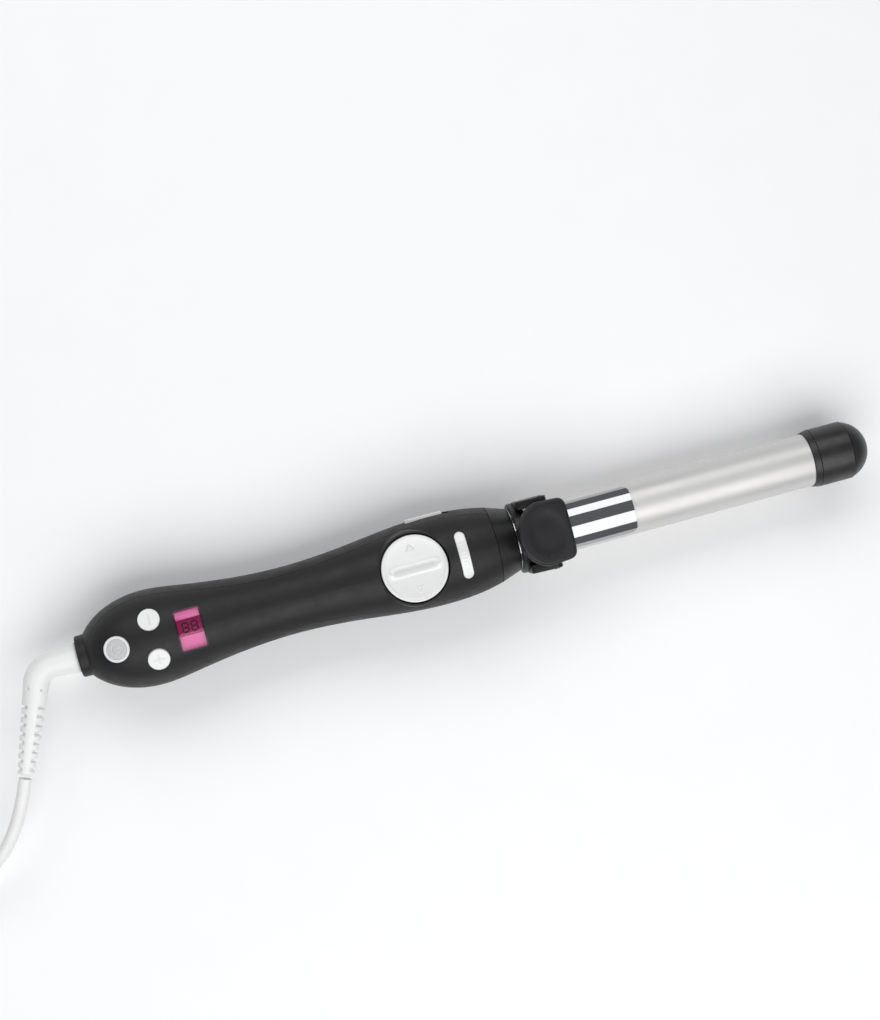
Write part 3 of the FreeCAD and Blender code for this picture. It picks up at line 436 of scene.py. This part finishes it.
collar_start, collar_end, collar_radius = tool_span("rear_collar")
collar_bore = 7.15
add_piece("rear_collar_ring",
          [turned_piece(soften([(collar_start, collar_bore), (collar_start, collar_radius),
                                (collar_end, collar_radius), (collar_end, collar_bore)],
                               [0.4, 1.2, 0.3, 0.3]))],
          charcoal, "handle", stands_for=("rear_collar",))

# --------------------------------------------------------------------------------------- round keys
# Three round keys are moulded in pearl white, with their marks sunk into the face. They sit in
# holes of the cover, square to its curve, and click down onto switches on the board.
pearl_white = finish("pearl_white", (0.74, 0.74, 0.735), (0.84, 0.84, 0.835), (0.24, 0.36),
                     grain=1500.0, depth=0.000004, coat=0.25)
misted_lens = finish("misted_lens", (0.52, 0.53, 0.53), (0.62, 0.63, 0.63), (0.16, 0.28),
                     grain=900.0, depth=0.000004, coat=0.6)


def crowned(outline, spine, face_height, edge, deep, rings=56):
    """A moulded key whose outline shrinks to its spine: P(k) = spine + k (outline - spine). The
    face stands at face_height(x, y), a quarter round of radius edge drops it to the outline,
    and a straight side goes down to a height of -deep."""
    outline, spine = np.asarray(outline, float), np.asarray(spine, float)
    reach = np.linalg.norm(outline - spine, axis=1).max()
    rim = 1 - (1 - np.sin(np.linspace(0, math.pi / 2, 9))) * edge / reach
    share = np.concatenate([np.linspace(0, rim[0], rings, endpoint=False), rim])[:, None, None]
    flat = spine + share * (outline - spine)
    from_rim = np.clip(edge - (1 - share[..., 0]) * reach, 0, edge)
    top = face_height(flat[..., 0], flat[..., 1]) - (edge - np.sqrt(edge ** 2 - from_rim ** 2))
    face = np.concatenate([flat, top[..., None]], -1)
    foot = np.concatenate([outline, np.full((len(outline), 1), -deep)], 1)[None]
    under = np.concatenate([spine, np.full((len(spine), 1), -deep)], 1)[None]
    rows = np.concatenate([face, foot, under])
    return rows, lattice(len(rows), len(outline))


def disc(radius, around=144):
    """A circle and the spine that it shrinks to, which is its centre."""
    a = np.linspace(0, 2 * math.pi, around, endpoint=False)
    return radius * np.stack([np.cos(a), np.sin(a)], 1), np.zeros((around, 2))


def stand(shell, origin, tilt, turn_about):
    """Stands a shell at a point in the tool's millimetres, tipped about X or Y."""
    points, faces = shell
    c, s = math.cos(math.radians(tilt)), math.sin(math.radians(tilt))
    tip = {"x": [[1, 0, 0], [0, c, -s], [0, s, c]], "y": [[c, 0, s], [0, 1, 0], [-s, 0, c]]}
    return at_tool(points @ np.array(tip[turn_about]).T + np.asarray(origin, float)), faces


def sunk(distance, half_width, soft=0.09):
    """1 inside a mark's line and 0 outside it, by distance from its middle."""
    return 1 / (1 + np.exp((distance - half_width) / soft))


def bar_distance(x, y, half_x, half_y):
    """How far a point is outside a rectangle about the middle."""
    return np.hypot(np.maximum(np.abs(x) - half_x, 0), np.maximum(np.abs(y) - half_y, 0))


def minus_face(x, y):
    """A low crown, h(r) = 0.60 + 0.14 (1 - r^2 / 25), with one line sunk 0.3 mm into it."""
    return 0.60 + 0.14 * (1 - (x * x + y * y) / 25) - 0.3 * sunk(bar_distance(x, y, 0, 2.3), 0.27)


def plus_face(x, y):
    """The same crown with two crossed lines."""
    mark = np.minimum(bar_distance(x, y, 0, 2.0), bar_distance(x, y, 2.0, 0))
    return 0.60 + 0.14 * (1 - (x * x + y * y) / 25) - 0.3 * sunk(mark, 0.27)


key_x, key_side, key_height, key_tilt, key_radius = 35.9, 9.3, 20.55, 21.0, 5.05
for name, side, face in (("minus", 1, minus_face), ("plus", -1, plus_face)):
    key = stand(crowned(*disc(key_radius), face, 0.45, 4.6), (key_x, side * key_side, key_height),
                -side * key_tilt, "x")
    add_piece(f"{name}_key", [key], pearl_white, f"{name}_key", stands_for=(f"{name}_button",),
              crease=60)


# The power key has a white rim round a misted lens, with a standby ring and stroke in the lens.
def lens_face(x, y):
    """A lower crown, with a ring that is open on one side and a short line through the gap."""
    r, bearing = np.hypot(x, y), np.arctan2(y, x)
    ring = sunk(np.abs(r - 2.15), 0.26) * (1 - sunk(np.abs(bearing), 0.42, 0.03))
    stroke = sunk(bar_distance(x - 1.9, y, 1.0, 0), 0.24)
    return 0.26 + 0.1 * (1 - r * r / 22) - 0.28 * np.maximum(ring, stroke)


power_place, power_tilt = (18.7, 0, 19.9), -12.0
power_radius, lens_radius, lens_gap, rim_steps = 6.0, 4.65, 0.05, 144
lens_hole = lens_radius + lens_gap
rim_round = soften([(lens_hole, -1.4), (lens_hole, 0.5), (power_radius, 0.5),
                    (power_radius, -4.6), (lens_hole, -4.6)], [0.1, 0.35, 0.5, 0.1, 0.1])
round_angle = np.linspace(0, 2 * math.pi, rim_steps, endpoint=False)
rim_points = np.stack(np.broadcast_arrays(rim_round[:, :1] * np.cos(round_angle),
                                          rim_round[:, :1] * np.sin(round_angle),
                                          rim_round[:, 1:]), -1)
add_piece("power_key_rim",
          [stand((rim_points, lattice(len(rim_round), rim_steps, closed_rows=True)),
                 power_place, power_tilt, "y")],
          pearl_white, "power_key", stands_for=("power_button_rim",))
add_piece("power_key_lens",
          [stand(crowned(*disc(lens_radius), lens_face, 0.2, 1.35), power_place, power_tilt, "y")],
          misted_lens, "power_key", stands_for=("power_button_lens",), crease=60)

# ------------------------------------------------------------------------------------------ display
# The window is a tinted lens that follows the cover's curve. Behind it a panel shows two
# figures and a level bar on a faintly glowing dark middle band. The two paler bands either side
# of it are painted reflection: the panel glows pale pink there, in place of the lamps' reflections.
window_low, window_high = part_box("display_window")
window_middle = ((window_low + window_high) / 2).x
panel_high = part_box("display_module")[1]
tinted_glass = bpy.data.materials.new("tinted_glass")
tinted_glass.use_nodes = True
glass = tinted_glass.node_tree.nodes["Principled BSDF"].inputs
glass["Base Color"].default_value = (0.95, 0.62, 0.80, 1)
glass["Roughness"].default_value = 0.03
glass["IOR"].default_value = 1.35
glass["Transmission Weight"].default_value = 1.0
dress(["display_window"], tinted_glass)

# The pale pink glows: painted reflection, standing in for the lamps' reflections that the curved
# window shows over the two pale bands.
pink_painted_reflection = finish("pink_painted_reflection", (0.55, 0.16, 0.33), (0.62, 0.22, 0.40), (0.3, 0.4), grain=900.0,
                    depth=0.000001, glow=0.55)
panel_magenta = finish("panel_magenta", (0.22, 0.006, 0.07), (0.30, 0.012, 0.10), (0.3, 0.4),
                       grain=900.0, depth=0.000001, glow=0.35)
panel_dark = finish("panel_dark", (0.012, 0.001, 0.006), (0.022, 0.002, 0.010), (0.3, 0.4),
                    grain=900.0, depth=0.000001)


def slab(outline, low, high, edge, plane="xy"):
    """A flat-faced extrusion of an outline, its rims rounded: the outline moves in along its own
    normals by e (1 - cos q) while it rises e (1 - sin q), with q from 0 to a right angle."""
    outline = np.asarray(outline, float)
    ahead = np.roll(outline, -1, 0) - np.roll(outline, 1, 0)
    outward = np.stack([ahead[:, 1], -ahead[:, 0]], 1)
    outward /= np.maximum(np.linalg.norm(outward, axis=1, keepdims=True), 1e-9)
    twice_area = np.sum(outline[:, 0] * np.roll(outline[:, 1], -1)
                        - outline[:, 1] * np.roll(outline[:, 0], -1))
    outward *= math.copysign(1, twice_area)
    q = np.linspace(0, math.pi / 2, 5)
    inset = np.concatenate([edge * (1 - np.sin(q)), edge * (1 - np.cos(q))])
    level = np.concatenate([low + edge * (1 - np.cos(q)), high - edge * (1 - np.sin(q))])
    flat = outline - inset[:, None, None] * outward
    levels = np.broadcast_to(level[:, None, None], (*flat.shape[:2], 1))
    points = np.concatenate([flat, levels], -1)
    order = {"xy": (0, 1, 2), "xz": (0, 2, 1), "yz": (2, 0, 1)}[plane]
    count, rows = len(outline), len(points)
    caps = [list(range(count))[::-1], list(range((rows - 1) * count, rows * count))]
    return points[..., list(order)], lattice(rows, count) + caps


def rectangle(x, y, corner):
    """A rectangle with rounded corners, from its two x and two y."""
    return soften([(x[0], y[0]), (x[1], y[0]), (x[1], y[1]), (x[0], y[1])], corner)


def in_tool(shell):
    """A shell in the tool's millimetres, moved to the frame."""
    return at_tool(shell[0]), shell[1]


panel_centre, panel_half = (window_middle - rear) * 1000, 6.0
panel_x = (panel_centre - panel_half, panel_centre + panel_half)
panel_top = (panel_high.z - axis_height) * 1000
# The panel's pale pink, seen either side of the middle band, is a glowing painted reflection.
add_piece("display_panel_painted_reflection",
          [in_tool(slab(rectangle(panel_x, (-9.2, 9.2), 1.2), panel_top - 2.2, panel_top, 0.1))],
          pink_painted_reflection, "handle", stands_for=("display_module",))
add_piece("display_band",
          [in_tool(slab(rectangle((panel_x[0] + 0.25, panel_x[1] - 0.25), (-2.6, 5.0), 0.3),
                        panel_top + 0.01, panel_top + 0.12, 0.03))],
          panel_magenta, "handle")


def segment(x, y, along_x, long=2.0, thick=0.85):
    """One bar of a seven-bar figure: a thin lozenge with pointed ends."""
    half, tip = long / 2, thick / 2
    shape = [(-half, 0), (-half + tip, -tip), (half - tip, -tip), (half, 0), (half - tip, tip),
             (-half + tip, tip)]
    if not along_x:
        shape = [(-b, a) for a, b in shape]
    return in_tool(slab([(x + a, y + b) for a, b in shape], panel_top + 0.14, panel_top + 0.24,
                        0.02))


bars = []
for figure in (-2.1, 2.1):
    for level in (-1.0, 1.1, 3.2):
        bars.append(segment(panel_centre + figure, level, True, 2.5))
    bars += [segment(panel_centre + figure + step, level, False)
             for step in (-1.35, 1.35) for level in (0.05, 2.15)]
bars += [segment(panel_centre + step, 4.35, True, 1.1, 0.6) for step in np.arange(-3.9, 4.0, 1.3)]
add_piece("display_figures", bars, panel_dark, "handle")

# A dark gasket runs round the window between the glass and the cover.
gasket_half = 6.28
gasket_outer = rectangle((-gasket_half, gasket_half), (-9.62, 9.62), 1.6)
gasket_inner = rectangle((-5.6, 5.6), (-8.95, 8.95), 1.1)
cover_radius = (window_high.z - axis_height) * 1000


def gasket():
    """A thin frame laid on the cover's curve: its heights are sqrt(R^2 - y^2) and a small step,
    and R falls by 1.24 mm along the window, as the cover's does."""
    rows = []
    for outline, step in ((gasket_outer, -0.5), (gasket_outer, 0.03), (gasket_inner, 0.03),
                          (gasket_inner, -0.5)):
        taper = np.interp(outline[:, 0], [-gasket_half, gasket_half], [0.62, -0.62])
        height = np.sqrt((cover_radius - 0.32 + taper) ** 2 - outline[:, 1] ** 2) + step
        rows.append(np.stack([outline[:, 0] + panel_centre, outline[:, 1], height], 1))
    return at_tool(np.stack(rows)), lattice(4, len(gasket_outer), closed_rows=True)


gasket_black = finish("gasket_black", (0.03, 0.004, 0.014), (0.05, 0.008, 0.022), (0.25, 0.35),
                      grain=1500.0, depth=0.000004)
add_piece("display_gasket", [gasket()], gasket_black, "handle")

# -------------------------------------------------------------------------------------- rocker dial
# The barrel's direction is set by a thick round rocker in pearl silver. It has a raised rim, a
# ridge for the thumb along the tool and an arrowhead each side, and rocks on a pin below.
pearl_silver = finish("pearl_silver", (0.74, 0.745, 0.73), (0.82, 0.825, 0.81), (0.28, 0.4),
                      grain=1700.0, depth=0.000006, metal=0.1, coat=0.2)
dial_x, dial_radius, dial_top, dial_under = 158.7, 15.6, 19.3, 14.6


def dial_face(x, y):
    """The rim is the highest ring. Inside it each half is a shallow dish, the ridge is a rounded
    gable along x, and the arrowheads are three raised lines each."""
    rim_start, arrow_base, arrow_half, arrow_long = 14.0, 8.6, 1.6, 2.4
    r = np.hypot(x, y)
    rim = 1 / (1 + np.exp((rim_start - r) / 0.12))
    inside = 1 - rim
    dish = -0.25 - 0.65 * np.clip(1 - (r / rim_start) ** 2, 0, 1) ** 0.8
    ends = np.clip((13.3 - np.abs(x)) / 4.5, 0, 1)
    gable = np.clip(1 - np.abs(y) / 3.1, 0, 1) ** 1.5
    ridge = 1.75 * gable * ends * ends * (3 - 2 * ends)
    across, out = np.abs(x), np.abs(y) - arrow_base
    base = np.hypot(np.maximum(across - arrow_half, 0), out)
    along_side = np.clip(((arrow_half - across) * arrow_half + out * arrow_long)
                         / (arrow_half ** 2 + arrow_long ** 2), 0, 1)
    sloped = np.hypot(across - arrow_half * (1 - along_side), out - arrow_long * along_side)
    arrow = 0.45 * sunk(np.minimum(base, sloped), 0.24, 0.06)
    return 0.02 * rim + inside * (dish + ridge + arrow)


dial = stand(crowned(*disc(dial_radius, 288), dial_face, 0.55, dial_top - dial_under, rings=150),
             (dial_x, 0, dial_top), 0, "x")
stem = slab(rectangle((dial_x - 3, dial_x + 3), (-3, 3), 0.4), 13.4, dial_under + 0.1, 0.1)
pegs = [slab(disc(1.2, 32)[0] + (dial_x, side * 9), 11.6, dial_under + 0.1, 0.2)
        for side in (-1, 1)]
add_piece("dial_rocker", [dial, in_tool(stem), *[in_tool(peg) for peg in pegs]], pearl_silver,
          "dial", stands_for=("rocker_dial",), crease=60)

# ------------------------------------------------------------------------------- home key and slide
# A pill-shaped key across the tool brings the clip home. Its crown follows the casing, and plain
# raised ribs mark it. A long white slide on the left side sets the speed of the motor.
home_x, home_width, home_length, home_crown = 182.2, 5.0, 22.2, 21.3


def home_face(x, y):
    """The crown sqrt(R^2 - y^2), with short ribs that are spaced along it."""
    ribs = np.zeros_like(x)
    for place in np.arange(-6.4, 6.5, 1.6):
        ribs = np.maximum(ribs, sunk(bar_distance(x, y - place, 0.95, 0), 0.2, 0.06))
    return np.sqrt(home_crown ** 2 - y * y) + 0.22 * ribs


half_straight = (home_length - home_width) / 2
bearing = np.linspace(0, math.pi, 49)[:, None]
upper_end = home_width / 2 * np.concatenate([np.cos(bearing), np.sin(bearing)], 1)
upper_end = upper_end + (0, half_straight)
side_y = np.linspace(half_straight, -half_straight, 40)[1:-1]
left_side = np.stack([np.full(len(side_y), -home_width / 2), side_y], 1)
outline = np.concatenate([upper_end, left_side, -upper_end, -left_side])
spine = np.stack([np.zeros(len(outline)),
                  np.clip(outline[:, 1], -half_straight, half_straight)], 1)
home_points, home_faces = crowned(outline, spine, home_face, 0.5, -15.2, rings=30)
add_piece("home_key", [(at_tool(home_points + np.array([home_x, 0, 0])), home_faces)],
          pearl_silver, "home_key", stands_for=("home_button",), crease=60)

slide_x, slide_height, slide_half = 169.8, 2.5, 9.0
slide_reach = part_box("speed_slide")[1].y * 1000
flange = slab(rectangle((slide_x - slide_half - 3.5, slide_x + slide_half + 3.5),
                        (slide_height - 3.2, slide_height + 3.2), 0.6), 15.2, 15.8, 0.1, "xz")
knob = slab(rectangle((slide_x - slide_half, slide_x + slide_half),
                      (slide_height - 1.8, slide_height + 1.8), 0.9), 15.6, slide_reach, 0.5, "xz")
add_piece("speed_slide_knob", [in_tool(flange), in_tool(knob)],
          pearl_white, "slide_knob", stands_for=("speed_slide",))

# ----------------------------------------------------------------------- clip ring, lever and blade
# Behind the barrel a bright turned ring closes the gap to the nose. The black clip ring carries
# two lugs, a steel pin through them, and the sprung clip: a thumb lever and a chromed blade.
mirror_chrome = finish("mirror_chrome", (0.38, 0.383, 0.387), (0.43, 0.433, 0.437), (0.035, 0.08),
                       metal=1.0, grain=500.0, depth=0.0000006)
soft_black = finish("soft_black", (0.0095, 0.0095, 0.0105), (0.015, 0.015, 0.0165), (0.38, 0.5),
                    grain=2600.0, depth=0.00003, gloss=0.38)
shine_start, shine_end, shine_radius = tool_span("polished_ring")
add_piece("bright_ring",
          [turned_piece(soften([(shine_start, 5.02), (shine_start, shine_radius),
                                (shine_end, shine_radius), (shine_end, 5.02)], 0.2))],
          mirror_chrome, "barrel", stands_for=("polished_ring",))

ring_start, ring_end, ring_radius, ring_bore = 209.4, 215.2, 16.8, 12.72
clip_shells = [turned_piece(soften([(ring_start, ring_bore), (ring_start, ring_radius),
                                    (ring_end, ring_radius), (ring_end, ring_bore)],
                                   [0.2, 0.9, 0.7, 0.2]))]
lug_outline = soften([(211.4, 3.0), (225.6, 3.0), (226.3, 16.0), (225.6, 18.4), (223.6, 19.8),
                      (221.0, 19.2), (211.7, 15.0)], [0.8, 1.5, 2, 1, 1.2, 2, 1.2], 8)
for side in (-1, 1):
    low, high = sorted((side * 13.2, side * 17.2))
    clip_shells.append(in_tool(slab(lug_outline, low, high, 0.55, "xz")))
add_piece("clip_ring_lugs", clip_shells, black_satin, "barrel", stands_for=("clip_ring",))
dress(["hinge_pin", "clip_spring", "clip_rivets"], steel)

lever_rear, lever_front, lever_half = 208.0, 234.0, 15.2
lever_thick, rear_height, front_height = 2.6, 24.0, 18.6
blade_radius, blade_bore = 13.7, 13.0
lever_long = lever_front - lever_rear
lever_middle = lever_rear + lever_long / 2


def lever_outline(around=288):
    """Half an ellipse behind and a straight front with rounded corners: a superellipse whose power
    grows from 2 at the rear to 7.5 at the front."""
    a = np.linspace(0, 2 * math.pi, around, endpoint=False)
    power = 2.0 + 5.5 * np.clip(np.cos(a) * 1.6 + 0.35, 0, 1)
    c, s = np.cos(a), np.sin(a)
    r = (np.abs(c) ** power + np.abs(s) ** power) ** (-1 / power)
    width = lever_half - 0.8 * np.clip(c, 0, 1)
    return np.stack([lever_long / 2 * r * c, width * r * s], 1)


def lever_face(x, y):
    """A slope up to the rear, crowned across, with a shallow oval dish for the thumb."""
    slope = rear_height + (front_height - rear_height) * (x / lever_long + 0.5) + lever_thick
    crown = -0.55 * (y / lever_half) ** 2
    oval = np.hypot((x - 1.0) / 9.2, y / 10.8)
    return slope + crown - 0.7 / (1 + np.exp((oval - 0.9) / 0.11))


def lever_pad():
    """The pad's face is crowned(); its underside is the same slope, a thickness lower."""
    pad_outline = lever_outline()
    points, faces = crowned(pad_outline, np.zeros_like(pad_outline), lever_face, 1.9, 0, rings=90)
    for row in (-2, -1):
        points[row, :, 2] = (rear_height + (front_height - rear_height)
                             * (points[row, :, 0] / lever_long + 0.5))
    return points + np.array([lever_middle, 0, 0]), faces


def lever_foot():
    """A saddle between the pad and the blade: flat above, and below it the blade's own arc."""
    a = np.linspace(math.radians(57.5), math.radians(122.5), 40)
    arc = (blade_radius + 0.03) * np.stack([np.cos(a), np.sin(a)], 1)
    wide = arc[0, 0]
    outline = np.concatenate([arc, [(-wide - 2.2, arc[-1, 1]), (-wide - 2.2, 17.0), (-9.5, 19.6),
                                    (9.5, 19.6), (wide + 2.2, 17.0), (wide + 2.2, arc[0, 1])]])
    return slab(outline, 226.0, lever_front - 0.5, 0.25, "yz")


lever_shells = [lever_pad(), lever_foot()]
web = soften([(220.4, 16.6), (221.2, 14.6), (223.0, 14.0), (227.0, 14.6), (227.0, 22.0),
              (220.4, 23.6)], [1, 1, 1, 0.5, 0.3, 0.3], 8)
for side in (-1, 1):
    low, high = sorted((side * 9.4, side * 11.6))
    lever_shells.append(slab(web, low, high, 0.3, "xz"))
add_piece("thumb_pad", [in_tool(shell) for shell in lever_shells], soft_black, "clip",
          stands_for=("thumb_lever",), crease=50)


def blade():
    """A thin trough: P(x, a) on two radii, its half angle drawn in near the free end by a quarter
    round, so that the two corners are rounded. A rolled rim joins the radii all round."""
    start, end, corner = 224.0, 266.0, 3.5
    half_angle = math.radians(54.0)
    x = np.concatenate([np.linspace(start, end - corner, 30),
                        end - corner * (1 - np.sin(np.linspace(0, math.pi / 2, 26)[1:]))])
    short = np.clip(x - (end - corner), 0, corner)
    drawn = (corner - np.sqrt(np.maximum(corner ** 2 - short ** 2, 0))) / blade_radius
    share = np.linspace(-1, 1, 97)
    a = (half_angle - drawn)[:, None] * share[None, :]
    sheets = [np.stack([np.broadcast_to(x[:, None], a.shape), r * np.sin(a), r * np.cos(a)], -1)
              for r in (blade_radius, blade_bore + 0.02)]
    rows, columns = a.shape
    faces = lattice(rows, columns, closed_columns=False)
    count = rows * columns
    inner = [[count + corner for corner in face[::-1]] for face in faces]
    index = np.arange(count).reshape(rows, columns)
    border = np.concatenate([index[0, :-1], index[:-1, -1], index[-1, :0:-1], index[:0:-1, 0]])
    ahead = np.roll(border, -1)
    rim = np.stack([border, border + count, ahead + count, ahead], 1).tolist()
    return at_tool(np.concatenate([sheet.reshape(-1, 3) for sheet in sheets])), faces + inner + rim


add_piece("chrome_blade", [blade()], mirror_chrome, "clip", stands_for=("clip_blade",),
          crease=50)

# ------------------------------------------------------------------------------ barrel and cool tip
# The barrel is a drawn aluminium tube with a baked pearl coat, heated from inside. The cool tip
# is three black mouldings pushed into it: a bevelled ring, a sleeve and a low domed cap.
pearl_coat = finish("pearl_coat", (0.62, 0.612, 0.60), (0.69, 0.682, 0.67), (0.42, 0.52),
                    grain=1500.0, depth=0.000003, stretch=(0.2, 1, 1), metal=0.45, coat=0.1)
barrel_start, barrel_end, barrel_radius = tool_span("barrel_tube")
barrel_bore = 11.5
add_piece("heated_barrel",
          [turned_piece(soften([(barrel_start, barrel_bore), (barrel_start, barrel_radius),
                                (barrel_end, barrel_radius), (barrel_end, barrel_bore)], 0.2),
                        around=192)],
          pearl_coat, "barrel", stands_for=("barrel_tube",))

tip_black = finish("tip_black", (0.009, 0.009, 0.0095), (0.015, 0.015, 0.016), (0.32, 0.45),
                   grain=2200.0, depth=0.000012)
ring_low, ring_high, _ = tool_span("tip_ring")
sleeve_low = tool_span("tip_sleeve")[0]
dome_low, dome_high, dome_radius = tool_span("tip_dome")
tip_radius, sleeve_front, plug_radius, sleeve_bore = 13.95, 359.02, 11.18, 9.7
cap_groove, cap_seat, seat_radius = 375.7, 361.0, 12.15
add_piece("tip_bevel_ring",
          [turned_piece(soften([(ring_low, 11.25), (ring_low, 13.25), (ring_high, tip_radius),
                                (ring_high, 11.25)], [0.1, 0.35, 0.25, 0.1]), around=192)],
          tip_black, "barrel", stands_for=("tip_ring",))
add_piece("tip_cap_sleeve",
          [turned_piece(soften([(sleeve_low, sleeve_bore), (sleeve_low, plug_radius),
                                (sleeve_front, plug_radius), (sleeve_front, tip_radius),
                                (cap_groove - 0.25, tip_radius), (cap_groove - 0.25, seat_radius),
                                (cap_seat, seat_radius), (cap_seat, sleeve_bore)],
                               [0.1, 0.1, 0.1, 0.3, 0.45, 0.1, 0.1, 0.1]), around=192)],
          tip_black, "barrel", stands_for=("tip_sleeve",))
rise = dome_high - cap_groove
dome_curve = (rise ** 2 + dome_radius ** 2) / (2 * rise)
sweep = np.linspace(math.asin(min(dome_radius / dome_curve, 1)), 0, 40)
dome_arc = np.stack([dome_high - dome_curve * (1 - np.cos(sweep)), dome_curve * np.sin(sweep)], 1)
dome_base = soften([(dome_low, 0), (dome_low, 12.1), (cap_groove, 12.1),
                    (cap_groove, dome_arc[0, 1])],
                   [0.1, 0.2, 0.1, 0.1], closed=False)
add_piece("tip_domed_cap", [turned_piece(np.concatenate([dome_base, dome_arc[1:]]), around=192,
                                         closed=False)],
          tip_black, "barrel", stands_for=("tip_dome",), crease=50)

# ---------------------------------------------------------------------------------- inside the tool
# Out of sight are the boards and switches, the gear motor in its nylon frame, the spindle with
# its gear, bush and bearing, the slip rings that feed the heater, and the elbow's swivel.
nylon = finish("natural_nylon", (0.62, 0.60, 0.54), (0.72, 0.70, 0.64), (0.4, 0.55), grain=900.0,
               depth=0.00001)
switch_black = finish("switch_black", (0.02, 0.02, 0.02), (0.035, 0.035, 0.035), (0.45, 0.6),
                      grain=1600.0, depth=0.00001)
board_green = finish("board_green", (0.012, 0.10, 0.035), (0.025, 0.17, 0.06), (0.25, 0.4),
                     grain=700.0, depth=0.000008)
aluminium = finish("drawn_aluminium", (0.66, 0.66, 0.67), (0.76, 0.76, 0.77), (0.3, 0.45),
                   metal=1.0, grain=1100.0, depth=0.000004, stretch=(0.1, 1, 1))
alumina = finish("alumina", (0.74, 0.73, 0.69), (0.84, 0.83, 0.79), (0.5, 0.65), grain=1800.0,
                 depth=0.00001)
dress(["control_board", "dial_board"], board_green)
dress(["key_switches", "dial_switches", "slide_switch_body", "brush_block", "slip_ring_sleeve"],
      switch_black)
dress(["gear_frame", "swivel_core", "swivel_brush_holder", "drive_gear"], nylon)
dress(["gear_motor", "motor_screws", "rocker_pin", "front_bearing", "pinion_shaft",
       "drive_spindle"], steel)
dress(["rear_bush", "brushes", "slip_ring_bands", "swivel_contact_rings", "motor_pinion"], brass)
dress(["heat_spreaders", "thermal_fuse"], aluminium)
dress(["ceramic_heater", "thermistor"], alumina)
dress(["barrel_hub"], black_satin)
